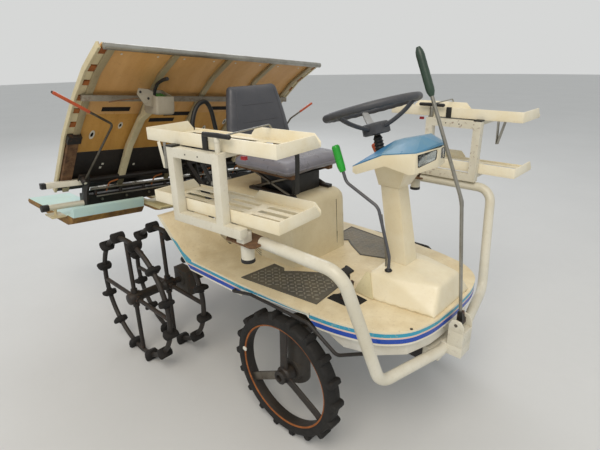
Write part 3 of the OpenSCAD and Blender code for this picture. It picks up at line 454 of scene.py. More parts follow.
# %% [markdown]
# ## Making meshes
# All pieces are skins over loops of points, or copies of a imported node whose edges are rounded. A copy can
# be cut by planes without changing its shape, so that bands and stains follow real places on it.

# %% Skins
def loft(bm, loops, index=0, ends=True, closed=False):
    """Skins loops of points, each a list of the same length. closed joins the last loop to the first."""
    rings = [[bm.verts.new(p) for p in loop] for loop in loops]
    faces = []
    for a, b in list(zip(rings, rings[1:])) + ([(rings[-1], rings[0])] if closed else []):
        for i in range(len(a)):
            j = (i + 1) % len(a)
            faces.append(bm.faces.new((a[i], a[j], b[j], b[i])))
    if ends and not closed:
        faces.append(bm.faces.new(rings[0][::-1]))
        faces.append(bm.faces.new(rings[-1]))
    for face in faces:
        face.material_index = index
print("loft skins loops of points")

# %% [markdown]
# Tubes and bars follow a path. A bent pipe is straight between arcs of one radius, while a hose or a grip is
# a smooth curve through its points, so there is one helper for each.

# %% Paths
def rounded_path(points, radius_mm, steps=7):
    """A path whose corners are turned into arcs."""
    out = [points[0]]
    for a, b, c in zip(points, points[1:], points[2:]):
        u, v = (a - b).normalized(), (c - b).normalized()
        angle = u.angle(v)
        if angle > math.radians(177):
            out.append(b)
            continue
        reach = min(radius_mm * MM / math.tan(angle / 2), 0.48 * (a - b).length, 0.48 * (c - b).length)
        start, end = b + u * reach, b + v * reach
        centre = b + (u + v).normalized() * (reach / math.cos(angle / 2))
        total = (start - centre).angle(end - centre)
        for i in range(steps + 1):
            t = i / steps
            s, e = math.sin((1 - t) * total), math.sin(t * total)
            out.append(centre + ((start - centre) * s + (end - centre) * e) / math.sin(total))
    out.append(points[-1])
    return out


def curved(points, steps=8):
    """A smooth curve through points."""
    out = []
    last = len(points) - 1
    for i in range(last):
        p0, p1, p2, p3 = points[max(0, i - 1)], points[i], points[i + 1], points[min(last, i + 2)]
        for k in range(steps):
            t = k / steps
            out.append(0.5 * ((2 * p1) + (p2 - p0) * t + (2 * p0 - 5 * p1 + 4 * p2 - p3) * t * t
                              + (3 * p1 - p0 - 3 * p2 + p3) * t * t * t))
    return out + [points[-1]]
print("paths are rounded or curved")

# %% [markdown]
# A bar carries its section along a path, and its frame turns with the path so that it does not twist. What
# is round about an axis, such as a hub or a tyre, is a profile turned about it, as on a lathe.

# %% Bars and turned shapes
def sweep(bm, path, radius_mm, sides=16, index=0, section=None, up=None):
    """A bar along a path. radius_mm may be one number or one for each point; section is a list of (x, y)."""
    last = len(path) - 1
    runs = [(path[min(i + 1, last)] - path[max(i - 1, 0)]).normalized() for i in range(last + 1)]
    side = (up.cross(runs[0]) if up else runs[0].orthogonal()).normalized()
    shape = section or [(math.cos(2 * math.pi * k / sides), math.sin(2 * math.pi * k / sides))
                        for k in range(sides)]
    loops = []
    for i, run in enumerate(runs):
        if i:
            side = runs[i - 1].rotation_difference(run) @ side
        side = (side - run * side.dot(run)).normalized()
        high = run.cross(side)
        r = (radius_mm[i] if isinstance(radius_mm, (list, tuple)) else radius_mm) * MM
        loops.append([path[i] + side * (x * r) + high * (y * r) for x, y in shape])
    loft(bm, loops, index)


def turned(bm, place, profile, steps=48, index=0, closed=False):
    """Turns a profile of (radius, height) points in mm about the Z axis of place."""
    loops = []
    for r, z in profile:
        loops.append([place @ Vector((r * MM * math.cos(2 * math.pi * k / steps),
                                      r * MM * math.sin(2 * math.pi * k / steps), z * MM))
                      for k in range(steps)])
    loft(bm, loops, index, closed=closed)
print("bars and turned shapes ready")

# %% [markdown]
# Sheet parts are cut to an outline and have a thickness. A block is the plainest of them, and only small
# lugs and caps that look like one are made with it.

# %% Plates and blocks
def plate(bm, lower, upper, index=0):
    """A solid between two outlines."""
    loft(bm, [lower, upper], index)


def side_plate(bm, outline, y0, y1, index=0, place=None):
    """A plate cut to a side view outline of (x, z) points, from one y to another."""
    put = place or at
    plate(bm, [put(x, y0, z) for x, z in outline], [put(x, y1, z) for x, z in outline], index)


def block(bm, low, high, index=0, place=None):
    """A box between two corners."""
    side_plate(bm, [(low[0], low[2]), (high[0], low[2]), (high[0], high[2]), (low[0], high[2])], low[1],
               high[1], index, place)


print("mesh helpers ready")

# %% [markdown]
# A mesh becomes a piece in one step: its edges are rounded with a Bevel modifier where they are sharp, it is
# shaded smooth up to a given angle, and it rides on its body. A piece that stands for imported nodes hides
# them.

# %% Pieces
made = []


def piece(name, bm, materials, body, stands_for=(), rounding_mm=0.0, steps=2, sharp=32, smooth=38,
          slot=None):
    """Finishes a mesh as a piece of the machine."""
    bmesh.ops.recalc_face_normals(bm, faces=bm.faces)
    mesh = bpy.data.meshes.new(name)
    bm.to_mesh(mesh)
    bm.free()
    if "custom_normal" in mesh.attributes:
        mesh.attributes.remove(mesh.attributes["custom_normal"])
    for material in materials:
        mesh.materials.append(material)
    thing = bpy.data.objects.new(name, mesh)
    scene.collection.objects.link(thing)
    if rounding_mm:
        modifier = thing.modifiers.new("rounding", "BEVEL")
        modifier.width = rounding_mm * MM
        modifier.segments = steps
        modifier.limit_method = "ANGLE"
        modifier.angle_limit = math.radians(sharp)
        settle(thing)
    thing.data.polygons.foreach_set("use_smooth", [True] * len(thing.data.polygons))
    thing.data.set_sharp_from_angle(angle=math.radians(smooth))
    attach(thing, body)
    if stands_for:
        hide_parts(*stands_for)
    slot or (slot_of[stands_for[0]] if stands_for else "black_steel")
    made.append(thing)
    return thing


def settle(thing):
    """Applies what the modifiers make."""
    graph = bpy.context.evaluated_depsgraph_get()
    done = bpy.data.meshes.new_from_object(thing.evaluated_get(graph))
    thing.modifiers.clear()
    thing.data = done
print("pieces are finished by one function")

# %% [markdown]
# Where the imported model's shape is right, the piece is a copy of it with rounded edges. Planes cut the copy
# where a colour changes, and a test on place and direction then picks the faces of each colour.

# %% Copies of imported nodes
def copied(node):
    """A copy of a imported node's mesh, with doubled points joined and flat faces made whole."""
    bm = bmesh.new()
    bm.from_mesh(nodes[node].data)
    bmesh.ops.remove_doubles(bm, verts=bm.verts, dist=0.02 * MM)
    bmesh.ops.dissolve_limit(bm, angle_limit=math.radians(0.8), verts=bm.verts, edges=bm.edges)
    for face in bm.faces:
        face.material_index = 0
    return bm


def cut(bm, point, across_it):
    """Cuts every face along a plane and keeps both halves."""
    bmesh.ops.bisect_plane(bm, geom=bm.verts[:] + bm.edges[:] + bm.faces[:], plane_co=point,
                           plane_no=across_it)


def paint(bm, index, wanted):
    """Gives a material to the faces whose middle, in mm, and normal are wanted."""
    for face in bm.faces:
        if wanted(in_mm(face.calc_center_median()), face.normal):
            face.material_index = index


def dressed(node, materials, rounding_mm=1.5, name=None, paints=(), cuts=(), steps=2, sharp=32):
    """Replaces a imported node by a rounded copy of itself."""
    bm = copied(node)
    for point, across_it in cuts:
        cut(bm, point, across_it)
    bm.normal_update()
    for index, wanted in paints:
        paint(bm, index, wanted)
    return piece(name or node + "_dressed", bm, materials, body_of[node], (node,), rounding_mm, steps,
                 sharp)


print("piece helpers ready")

# %% [markdown]
# ## Deck
# The deck is one large moulding, with a skirt that carries four bands of tape. Its top edge is rounded by
# about 10 mm. The bands keep their distance from the top edge, and stop where the wheel arch is cut out; on
# the rear fender they turn up along its lower edge. The skirt is cut along those lines and painted.

# %% Outline of the deck
DECK_HALF = 441
CORNER_MM = 42
TOP_EDGE_MM = 10
DECK_PLAN = [(330, 1), (700, 1), (980, 0.975), (1180, 0.915), (1330, 0.81), (1412, 0.63), (1444, 0.38),
             (1452, 0)]


def half_width(x):
    """Half the width of the deck at a distance forward of the rear axle."""
    for (x0, w0), (x1, w1) in zip(DECK_PLAN, DECK_PLAN[1:]):
        if x0 <= x <= x1:
            return DECK_HALF * (w0 + (w1 - w0) * (x - x0) / (x1 - x0))
    return DECK_HALF if x < DECK_PLAN[0][0] else 0


def on_rim(p):
    """Whether a place, in mm, lies on the outer face of the skirt."""
    return abs(p.y) > half_width(p.x) - 5.6 or p.x > 1444
print("deck is", 2 * DECK_HALF, "mm wide at the seat")

# %% [markdown]
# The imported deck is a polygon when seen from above. Its upright corners are rounded first, so that the nose
# runs in one curve, and its top edge after them. Both are bevels on chosen edges only.

# %% Round the deck
deck_bm = copied("deck")
deck_bm.normal_update()
corner_edges = []
for edge in deck_bm.edges:
    if len(edge.link_faces) == 2:
        upright = abs((edge.verts[0].co - edge.verts[1].co).normalized().z) > 0.99
        middle = in_mm((edge.verts[0].co + edge.verts[1].co) / 2)
        if upright and on_rim(middle) and middle.x > 700 and 3 < math.degrees(edge.calc_face_angle(0)) < 60:
            corner_edges.append(edge)
bmesh.ops.bevel(deck_bm, geom=corner_edges, offset=CORNER_MM * MM, segments=5, profile=0.5, affect="EDGES",
                clamp_overlap=True)
deck_bm.normal_update()
rim_edges = []
for edge in deck_bm.edges:
    if len(edge.link_faces) == 2:
        middle = in_mm((edge.verts[0].co + edge.verts[1].co) / 2)
        tops = sorted(face.normal.z for face in edge.link_faces)
        if on_rim(middle) and tops[1] > 0.3 and abs(tops[0]) < 0.3 and middle.z > FLOOR_Z - 2:
            rim_edges.append(edge)
bmesh.ops.bevel(deck_bm, geom=rim_edges, offset=TOP_EDGE_MM * MM, segments=4, profile=0.5, affect="EDGES",
                clamp_overlap=True)
print("rounded", len(corner_edges), "corner edges and", len(rim_edges), "top edges")

# %% [markdown]
# Tape is too thin to be a mesh of its own, so the skirt's own faces are painted. Planes cut it at the edges
# of each tape, in mm below the floor, along the lower edge of the fender and over the wheel arch.

# %% Cut the skirt along the tapes
BANDS = (9, 24, 26, 29, 31, 50, 53)
for depth in BANDS:
    cut(deck_bm, at(0, 0, FLOOR_Z - depth), Vector((0, 0, 1)))
fender_run = Vector((102 - 314, 0, 734 - 548)).normalized()
fender_out = Vector((fender_run.z, 0, -fender_run.x))
for reach in (4, 6, 58):
    cut(deck_bm, at(314, 0, 548) + fender_out * reach * MM, fender_out)
cut(deck_bm, at(150, 0, 690), Vector((0.3, 0, 1)))
arch_run = Vector((337, 0, 12)).normalized()
cut(deck_bm, at(712, 0, 584), Vector((-arch_run.z, 0, arch_run.x)))
for x in (330, 690, 1062, 1064):
    cut(deck_bm, at(x, 0, 0), Vector((1, 0, 0)))
print("skirt cut into", len(deck_bm.faces), "faces")

# %% [markdown]
# The pattern is one function of place: teal above, then a thin pink line, royal blue and white below. On the
# fender the teal follows its lower edge, and a dark line marks where two mouldings meet.

# %% Paint the tapes
def band_of(p, n):
    """The number of the tape on the skirt at a place: 1 teal, 2 pink, 3 royal blue, 4 white, 0 none."""
    outside = p + n * 8
    if abs(n.z) > 0.5 or abs(outside.y) < half_width(outside.x):
        return 0
    depth = FLOOR_Z - p.z
    if p.x < 330:
        off = (at(p.x, 0, p.z) - at(314, 0, 548)).dot(fender_out) / MM
        if p.x < 62 + 1:
            return 0
        if 0 <= off < 4:
            return 4
        if depth > 31 and off > 6:
            return 3 if depth < 50 else 4 if depth > 53 else 0
        if 26 < depth < 29 and off > 6:
            return 2
        return 1 if 6 < off < 58 and depth < 24 and (p.z - 690) + 0.3 * (p.x - 150) < 0 else 0
    if 1062 < p.x < 1064:
        return 6
    if 690 < p.x < 1062:
        if -(p.x - 712) * arch_run.z + (p.z - 584) * arch_run.x < 0:
            return 4
        return 1 if 9 < depth < 24 else 0
    if 9 < depth < 24:
        return 1
    if 26 < depth < 29:
        return 2
    if 31 < depth < 50:
        return 3
    return 4 if depth > 53 else 0


deck_bm.normal_update()
for face in deck_bm.faces:
    middle = in_mm(face.calc_center_median())
    band = band_of(middle, face.normal)
    face.material_index = band or (5 if face.normal.z > 0.7 else 0)
deck = piece("deck_moulding", deck_bm, [cream_abs, teal_tape, pink_tape, blue_tape, white_tape, floor_abs,
                                        seam_shadow], "chassis", ("deck",), smooth=42)
print("deck has", len(deck.data.polygons), "faces and", len(rim_edges), "rounded rim edges")

# %% [markdown]
# ## Engine cover
# The engine cover is a tall box with soft upper edges and tighter front corners. It is skinned from side
# views that shrink as they near its sides, so the rounding is larger above than in front. A parting seam
# runs up its front face, and its right side has two columns of slanted louvres.

# %% Engine cover
cover_bm = bmesh.new()
cover_loops = []
quarter = [i * 90 / 6 for i in range(7)]
for sign in (-1, 1):
    for angle in (quarter if sign < 0 else quarter[::-1]):
        y = sign * (186 - 40 + 40 * math.cos(math.radians(angle)))
        k = 1 - math.sin(math.radians(angle))
        outline = [(180 + 18 * k, 606), (774 - 14 * k, 606), (768 - 14 * k, 740),
                   (762 - 15 * k, 868 - 26 * k), (758 - 16 * k, 888 - 33 * k),
                   (746 - 19 * k, 902 - 38 * k), (728 - 22 * k, 909 - 41 * k),
                   (706 - 24 * k, 912 - 42 * k), (226 + 20 * k, 912 - 42 * k),
                   (200 + 20 * k, 904 - 38 * k), (183 + 18 * k, 880 - 34 * k)]
        cover_loops.append([at(x, y, z) for x, z in outline])
loft(cover_bm, cover_loops)
print("cover skinned from", len(cover_loops), "side views")

# %% [markdown]
# The seam is a dark strip a little proud of the face. Each louvre is a slanted slot of painted shade under a
# narrow lip of the cover's own plastic.

# %% Seam and louvres
block(cover_bm, (700, 117.4, 612), (772.6, 119, 700), 1)
side_plate(cover_bm, [(740, 700), (770.4, 700), (764, 862), (735, 862)], 117.4, 119, 1)
for x0, count, first_z in ((450, 5, 676), (508, 6, 686)):
    for i in range(count):
        z = first_z - 11.5 * i
        for side in (RIGHT, LEFT):
            # The slot is a plate of painted shade; the lip over it is real.
            side_plate(cover_bm, [(x0, z), (x0 + 40, z - 17), (x0 + 40, z - 22.5), (x0, z - 5.5)],
                       side * 180, side * 186.4, 2)
            side_plate(cover_bm, [(x0 - 1, z + 1.6), (x0 + 41, z - 15.8), (x0 + 41, z - 18),
                                  (x0 - 1, z - 0.6)], side * 180, side * 188.2, 0)
engine_cover = piece("engine_cover", cover_bm, [box_side_abs, seam_shadow, painted_opening_shade], "chassis",
                     ("seat_box",), smooth=50)
print("engine cover", [round(v, 3) for v in engine_cover.dimensions])

# %% [markdown]
# ## Front hump
# The hump is one soft moulding, with no flat face or hard edge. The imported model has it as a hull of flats.
# So its points are wrapped in a hull, remeshed in small cells and smoothed until the flats run together.

# %% Front hump
packed_bm = copied("front_cover")
hump_bm = bmesh.new()
for v in packed_bm.verts:
    hump_bm.verts.new(v.co)
packed_bm.free()
bmesh.ops.convex_hull(hump_bm, input=hump_bm.verts[:])
bmesh.ops.delete(hump_bm, geom=[v for v in hump_bm.verts if not v.link_faces], context="VERTS")
hump = piece("front_hump", hump_bm, [cream_abs], "chassis", ("front_cover",))
for kind, settings in (("REMESH", {"mode": "VOXEL", "voxel_size": 6 * MM}),
                       ("SMOOTH", {"iterations": 22, "factor": 0.5})):
    modifier = hump.modifiers.new(kind.lower(), kind)
    for key, value in settings.items():
        setattr(modifier, key, value)
settle(hump)
for v in hump.data.vertices:
    if v.co.z < (FLOOR_Z + 5) * MM:
        v.co.z = (FLOOR_Z + 0.3) * MM
hump.data.polygons.foreach_set("use_smooth", [True] * len(hump.data.polygons))
print("hump has", len(hump.data.polygons), "faces")

# %% [markdown]
# ## Tub, column and console
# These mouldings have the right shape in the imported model, so each gets a copy with its edges rounded: wide
# on the column, narrow on the console. The console's top is a blue moulding with a darker rear part.

# %% Tub, column and console
dressed("lower_front_cover", [white_abs], 4, "front_tub", steps=3, sharp=22)
dressed("steering_column", [cream_abs], 15, "steering_column_moulding", steps=4)
dressed("console", [cream_abs], 3, "console_moulding", steps=3, sharp=20)
dressed("console_top", [blue_abs, deep_blue_abs], 4, "console_blue_top", steps=3, sharp=16,
        cuts=[(at(1160, 0, 0), Vector((1, 0, 0)))], paints=[(1, lambda p, n: p.x < 1160)])
print("pieces so far:", len(made))

# %% [markdown]
# The lower sides of the hump have yellowed. Beside it the floor is open for the pedals: each well is drawn as
# a plate of painted shade at floor level, edged in black. Black sheets line the body behind the front wheels
# and keep the mud off the frame; they stand for a black inner fender and also for painted shade under the
# deck.

# %% Side panels, pedal wells and liners
panel_bm = bmesh.new()
well_bm = bmesh.new()
for side in (RIGHT, LEFT):
    low = [at(1090, side * 172, 607), at(1192, side * 182, 607), at(1150, side * 149, 700),
           at(1134, side * 148, 700)]
    plate(panel_bm, low, [p + Vector((0, side * 4 * MM, 1.5 * MM)) for p in low])
    well = [(1044, 292), (1172, 292), (1176, 200), (1100, 190), (1044, 250)]
    # The well's floor is a plate of painted shade.
    plate(well_bm, [at(x, side * y, FLOOR_Z - 0.5) for x, y in well],
          [at(x, side * y, FLOOR_Z + 0.8) for x, y in well])
    side_plate(well_bm, [(1040, 607), (1076, 607), (1070, 690), (1052, 712)], side * 186, side * 176, 1)
    side_plate(well_bm, [(1050, 700), (1086, 690), (1086, 697), (1052, 708)], side * 214, side * 170, 1)
piece("hump_side_panels", panel_bm, [yellowed_abs], "chassis", slot="cream_body", rounding_mm=0.8)
piece("pedal_wells", well_bm, [painted_opening_shade, black_pp], "chassis", slot="black_plastic", rounding_mm=0.3)
# Partly painted shade: besides the black inner fender, these sheets stand for the shade under the deck above
# the front wheels.
liner_bm = bmesh.new()
for side in (RIGHT, LEFT):
    side_plate(liner_bm, [(640, 500), (1110, 470), (1110, 601), (640, 601)], side * 250, side * 247)
    side_plate(liner_bm, [(640, 560), (690, 592), (1100, 594), (1100, 600), (640, 600)], side * 300,
               side * 250)
piece("wheel_arch_liners", liner_bm, [black_pp], "chassis", slot="black_plastic", rounding_mm=1.0)
print("pieces so far:", len(made))

# %% [markdown]
# Two black screw caps hold the front of the floor, and a red button stands on the console.

# %% Screw caps and button
button_bm = bmesh.new()
for x, y in ((1406, -262), (1430, 120)):
    turned(button_bm, Matrix.Translation(at(x, y, 605.5)),
           [(3, 0), (5.5, 0.4), (5.5, 2), (4, 2.8), (1, 3)], 20)
piece("deck_screws", button_bm, [black_pp], "chassis", slot="black_plastic")
red_bm = bmesh.new()
turned(red_bm, Matrix.Translation(at(1262, 62, 1196)), [(11, 0), (11, 12), (9, 15), (3, 16)], 24)
piece("console_red_button", red_bm, [red_plastic], "chassis", slot="black_plastic", rounding_mm=0.8)
print("pieces so far:", len(made))

# %% [markdown]
# ## Headlamps
# Each lamp sits in a window of the console's slanted face: an aluminised reflector with a bulb, under a
# clear fluted lens in a thin dark frame.

# %% Outline of a headlamp
def lamp_point(side, u, w, z):
    """A point on a lamp's face: u along it from the console's corner, w outward."""
    turn = math.atan2(109, 32)
    return at(1293 + u * math.cos(turn) + w * math.sin(turn),
              -side * (-115 + u * math.sin(turn) - w * math.cos(turn)), z)


LAMP_CORNERS = [(14.6, 1138.2), (102.4, 1157.6), (103.4, 1193.4), (9.8, 1183.4)]


def lamp_loop(side, inset, w):
    """The lamp's outline with its corners cut, drawn in by inset and moved outward by w."""
    cu = sum(u for u, z in LAMP_CORNERS) / 4
    cz = sum(z for u, z in LAMP_CORNERS) / 4
    loop = []
    for i, (u, z) in enumerate(LAMP_CORNERS):
        for other in (LAMP_CORNERS[i - 1], LAMP_CORNERS[(i + 1) % 4]):
            step = Vector((other[0] - u, other[1] - z)).normalized() * 6
            pu, pz = u + step.x, z + step.y
            loop.append(lamp_point(side, pu + (cu - pu) * inset / 45, w, pz + (cz - pz) * inset / 24))
    return loop
print("lamp is", round(LAMP_CORNERS[2][0] - LAMP_CORNERS[3][0]), "mm wide")

# %% [markdown]
# The frame is a thin black rim, the reflector a shallow dish behind it, and the bulb a short white capsule.
# The lens closes them as its own piece, because it alone is clear.

# %% Headlamp shells and lenses
lamp_bm = bmesh.new()
for side in (RIGHT, LEFT):
    loft(lamp_bm, [lamp_loop(side, 0, -4.6), lamp_loop(side, 0, 0.3), lamp_loop(side, 1.1, 0.3),
                   lamp_loop(side, 1.3, -1.4)], 1, ends=False)
    loft(lamp_bm, [lamp_loop(side, 1.2, -2.2), lamp_loop(side, 3, -3.6), lamp_loop(side, 9, -4.4)], 2)
    bulb = lamp_point(side, 52, -3.4, 1169)
    sweep(lamp_bm, [bulb - Vector((0, 0, 9 * MM)), bulb, bulb + Vector((0, 0, 9 * MM))], [2, 3.2, 2], 12, 3)
piece("headlamp_shells", lamp_bm, [reflector, black_pp, reflector, white_nylon], "chassis", ("headlamp",))
lens_bm = bmesh.new()
for side in (RIGHT, LEFT):
    loft(lens_bm, [lamp_loop(side, 1.2, -1.6), lamp_loop(side, 1.1, -0.9), lamp_loop(side, 2.2, -0.2)])
piece("headlamp_lenses", lens_bm, [lamp_lens], "chassis", slot="lamp_lens")
print("pieces so far:", len(made))

# %% [markdown]
# ## Steering wheel and boot
# The rim is a vinyl-covered ring with a wavy underside for the fingers. Three thick spokes drop from it to a
# blocky hub, and a pleated rubber boot hides the shaft below. The ring is skinned as loops round its circle,
# each loop dented on its lower side by a cosine of the place.

# %% Steering wheel rim
RIM_R = 181.5
RIM_TUBE_R = 15
STEER = Matrix.Translation(at(1026, 0, 1315.9)) @ Matrix.Rotation(math.radians(-17), 4, "Y")
wheel_bm = bmesh.new()
rim_loops = []
for i in range(168):
    angle = 2 * math.pi * i / 168
    loop = []
    for k in range(16):
        b = 2 * math.pi * k / 16
        dent = 1.6 * max(0.0, -math.sin(b)) * (0.5 + 0.5 * math.cos(28 * angle))
        r = RIM_TUBE_R - dent
        loop.append(STEER @ (Vector(((RIM_R + r * math.cos(b)) * math.cos(angle),
                                     (RIM_R + r * math.cos(b)) * math.sin(angle), r * math.sin(b))) * MM))
    rim_loops.append(loop)
loft(wheel_bm, rim_loops, closed=True)
print("steering wheel", round(2 * (RIM_R + RIM_TUBE_R)), "mm across")

# %% [markdown]
# Each spoke is a flat bar with cut corners that thins toward the rim. The hub is a block with eight sides,
# widest in its middle, on a short steel shaft.

# %% Spokes and hub
spoke_shape = [(1, 0.25), (0.75, 0.5), (-0.75, 0.5), (-1, 0.25), (-1, -0.25), (-0.75, -0.5), (0.75, -0.5),
               (1, -0.25)]
for angle, index in ((135, 1), (255, 0), (15, 0)):
    turn = Matrix.Rotation(math.radians(angle), 4, "Z")
    path = [STEER @ turn @ (Vector(p) * MM) for p in ((24, 0, -80), (70, 0, -66), (120, 0, -42),
                                                      (158, 0, -16), (180, 0, -3))]
    sweep(wheel_bm, curved(path, 4), [17 - 4 * t / 16 for t in range(17)], 8, index, spoke_shape,
          Vector((0, 0, 1)))
hub_loops = []
for r, z in ((38, -104), (46, -100), (46, -66), (40, -58), (26, -56)):
    hub_loops.append([STEER @ (Vector((r * x, r * y, z)) * MM) for x,
                      y in ((1, 0.62), (0.62, 1), (-0.62, 1), (-1, 0.62), (-1, -0.62), (-0.62, -1),
                            (0.62, -1), (1, -0.62))])
loft(wheel_bm, hub_loops)
turned(wheel_bm, STEER, [(12, -190), (12, -100)], 24, 2)
piece("steering_wheel_dressed", wheel_bm, [wheel_vinyl, wheel_grey, dull_steel], "steering_wheel",
      ("steering_wheel",))
print("wheel has", len(made[-1].data.polygons), "faces")

# %% [markdown]
# The boot is a moulded rubber bellows, so its profile is a zigzag turned about the shaft.

# %% Boot
boot_bm = bmesh.new()
pleats = [(12.6, -209)]
for i in range(8):
    pleats += [(22 - i * 0.4, -207 + i * 12.6), (16.5 - i * 0.2, -201 + i * 12.6)]
turned(boot_bm, STEER, pleats + [(12.6, -106)], 32)
piece("steering_boot", boot_bm, [hose_rubber], body_of["steering_shaft"], ("steering_shaft",), 1.2, 2)
print("boot has", len(pleats) // 2, "pleats")

# %% [markdown]
# ## Foot mats
# Each mat is a 4 mm rubber sheet with a raised border and a chequer pattern: short bars, 20 mm long, that
# stand at right angles to their neighbours. The bars are real, since they catch the light at a low angle.

# %% Outline of a mat
MAT_PLAN = [(650, -402), (664, -212), (730, -214), (752, -236), (800, -196), (905, -128), (1022, -170),
            (1046, -356)]


def shrunk(outline, by):
    """An outline moved inward by a distance, for points that run round it in either direction."""
    area = sum(a[0] * b[1] - b[0] * a[1] for a, b in zip(outline, outline[1:] + outline[:1]))
    by = by if area > 0 else -by
    out = []
    for i, (x, y) in enumerate(outline):
        before = (Vector((x, y)) - Vector(outline[i - 1])).normalized()
        after = (Vector(outline[(i + 1) % len(outline)]) - Vector((x, y))).normalized()
        way = Vector((-before.y - after.y, before.x + after.x)).normalized()
        scale = by / max(0.4, way.dot(Vector((-after.y, after.x))))
        out.append((x + way.x * scale, y + way.y * scale))
    return out


def within(outline, x, y):
    """Whether a place lies inside an outline."""
    inside = False
    for (x0, y0), (x1, y1) in zip(outline, outline[1:] + outline[:1]):
        if (y0 > y) != (y1 > y) and x < x0 + (y - y0) / (y1 - y0) * (x1 - x0):
            inside = not inside
    return inside
print("mat outline has", len(MAT_PLAN), "corners")

# %% [markdown]
# The border is skinned from the outline and from outlines shrunk inward. A bar goes wherever the middle of
# its cell lies inside the field, so the pattern runs up to the border as on a cut sheet.

# %% Foot mats
mat_bm = bmesh.new()
for side in (RIGHT, LEFT):
    plan = [(x, y * -side) for x, y in MAT_PLAN]
    inner = shrunk(plan, 7)
    field = shrunk(plan, 18)
    loft(mat_bm, [[at(x, y, FLOOR_Z) for x, y in plan], [at(x, y, FLOOR_Z + 3) for x, y in plan],
                  [at(x, y, FLOOR_Z + 4) for x, y in shrunk(plan, 1.2)],
                  [at(x, y, FLOOR_Z + 4) for x, y in inner],
                  [at(x, y, FLOOR_Z + 2.2) for x, y in shrunk(plan, 8.5)]], 1)
    for i in range(18):
        for j in range(14):
            x, y = 655 + i * 23, side * (135 + j * 21)
            if not within(field, x, y):
                continue
            turn = math.radians(45 if (i + j) % 2 else -45)
            u, v = Vector((math.cos(turn), math.sin(turn))), Vector((-math.sin(turn), math.cos(turn)))
            low, high = [], []
            for a, b in ((-1, 0), (-0.6, -1), (0.6, -1), (1, 0), (0.6, 1), (-0.6, 1)):
                p = u * a * 10.5 + v * b * 3.4
                low.append(at(x + p.x, y + p.y, FLOOR_Z + 2))
                high.append(at(x + p.x * 0.8, y + p.y * 0.7, FLOOR_Z + 3.9))
            loft(mat_bm, [low, high], 2)
mat_bm.normal_update()
for face in mat_bm.faces:
    if face.normal.z > 0.9 and face.calc_area() > 0.01:
        face.material_index = 0
piece("foot_mats_dressed", mat_bm, [mat_rubber, mat_edge_rubber, mat_bar_rubber], "chassis", ("foot_mats",))
print("mats have", len(made[-1].data.polygons), "faces")

# %% [markdown]
# ## Hand levers, pedals and grips
# Three bent rods rise through the hump beside the column. The nearest carries a long green grip, the far one
# an orange knob. Each rod is a circle carried along a path whose corners are turned into arcs.

# %% Lever rods
LEVER_FOOT = FLOOR_Z + 116 - 11.5
lever_bm = bmesh.new()
near = [at(1205, -104, LEVER_FOOT), at(1205, -104, 770), at(1150, -113, 965), at(997, -115, 1038),
        at(978, -115, 1083)]
far = [at(1190, 104, LEVER_FOOT), at(1190, 104, 760), at(1130, 112, 900), at(990, 118, 1120)]
thin = [at(1180, -84, LEVER_FOOT + 4), at(1180, -84, 760), at(1152, -90, 930)]
sweep(lever_bm, rounded_path(near, 45), 6.5, 16, 0)
sweep(lever_bm, rounded_path(far, 45), 5.5, 16, 0)
sweep(lever_bm, rounded_path(thin, 60), 4, 14, 1)
print("rods rise from", LEVER_FOOT, "mm")

# %% [markdown]
# A pedal is a bent arm with a wide ribbed pad, on a cross shaft under the floor. A black collar seals each
# lever where it passes the hump.

# %% Pedals and collars
pedal_x = FRONT_AXLE + 111
for side in (RIGHT, LEFT):
    side_plate(lever_bm, [(pedal_x, 470), (pedal_x + 12, 470), (pedal_x + 26, 560), (pedal_x + 16, 566)],
               side * 240, side * 224, 2)
    side_plate(lever_bm, [(pedal_x + 12, 556), (pedal_x + 22, 556), (pedal_x + 46, 668),
                          (pedal_x + 34, 672)], side * 262, side * 202, 2)
    for i in range(5):
        z = 580 + i * 18
        x = pedal_x + 12 + (z - 556) * 0.2
        side_plate(lever_bm, [(x - 0.5, z), (x + 3, z + 8), (x - 2.5, z + 9)], side * 259, side * 205, 2)
    sweep(lever_bm, [at(pedal_x + 6, side * 262, 476), at(pedal_x + 6, side * 118, 476)], 6, 14, 2)
    turned(lever_bm, Matrix.Translation(at(1205 if side == RIGHT else 1190, side * 104, LEVER_FOOT - 1)),
           [(15, 0), (15, 2.5), (9, 9), (7, 10)], 24, 3)
piece("hand_levers_and_pedals", lever_bm, [lever_enamel, zinc_steel, black_enamel, black_pp], "chassis",
      ("control_levers",), smooth=45)
print("levers reach", [round(v) for v in in_mm(near[-1])])

# %% [markdown]
# The green grip is dipped, so it is thickest at its end and rounded there. The orange knob has rings for the
# fingers.

# %% Grips
grip_bm = bmesh.new()
grip_path = curved([at(980, -115, 1078), at(969, -115, 1100), at(957, -115, 1130), at(946, -115, 1158),
                    at(938, -115, 1178)], 5)
grip_radii = [12 + 4 * min(1, t / 5) - (0 if t < 18 else (t - 18) * 2.6) for t in range(len(grip_path))]
sweep(grip_bm, grip_path, grip_radii, 20, 0)
knob_way = (at(990, 118, 1120) - at(1130, 112, 900)).normalized()
knob_foot = at(990, 118, 1120)
knob_path = [knob_foot + knob_way * t * MM for t in (0, 3, 8, 11, 14, 19, 22, 25, 30, 33, 37, 41, 42)]
sweep(grip_bm, knob_path, [10, 15, 17.5, 16.4, 17.5, 18, 16.8, 18, 18, 16.6, 17, 13, 6], 24, 1)
piece("lever_grips_dressed", grip_bm, [green_pvc, orange_pvc], "chassis", ("lever_grips",), smooth=60)
print("grip is", len(grip_radii), "rings long")

# %% [markdown]
# ## Guard pipes
# A 42 mm pipe runs from each rack pivot round the front corner to the frame. It is bent cold, so its corners
# are arcs of 70 mm. A rusty plate carries the rack, and under it hangs the socket of the rack's pin, with a
# black cap. Thin dark pipes guard the front wheels.

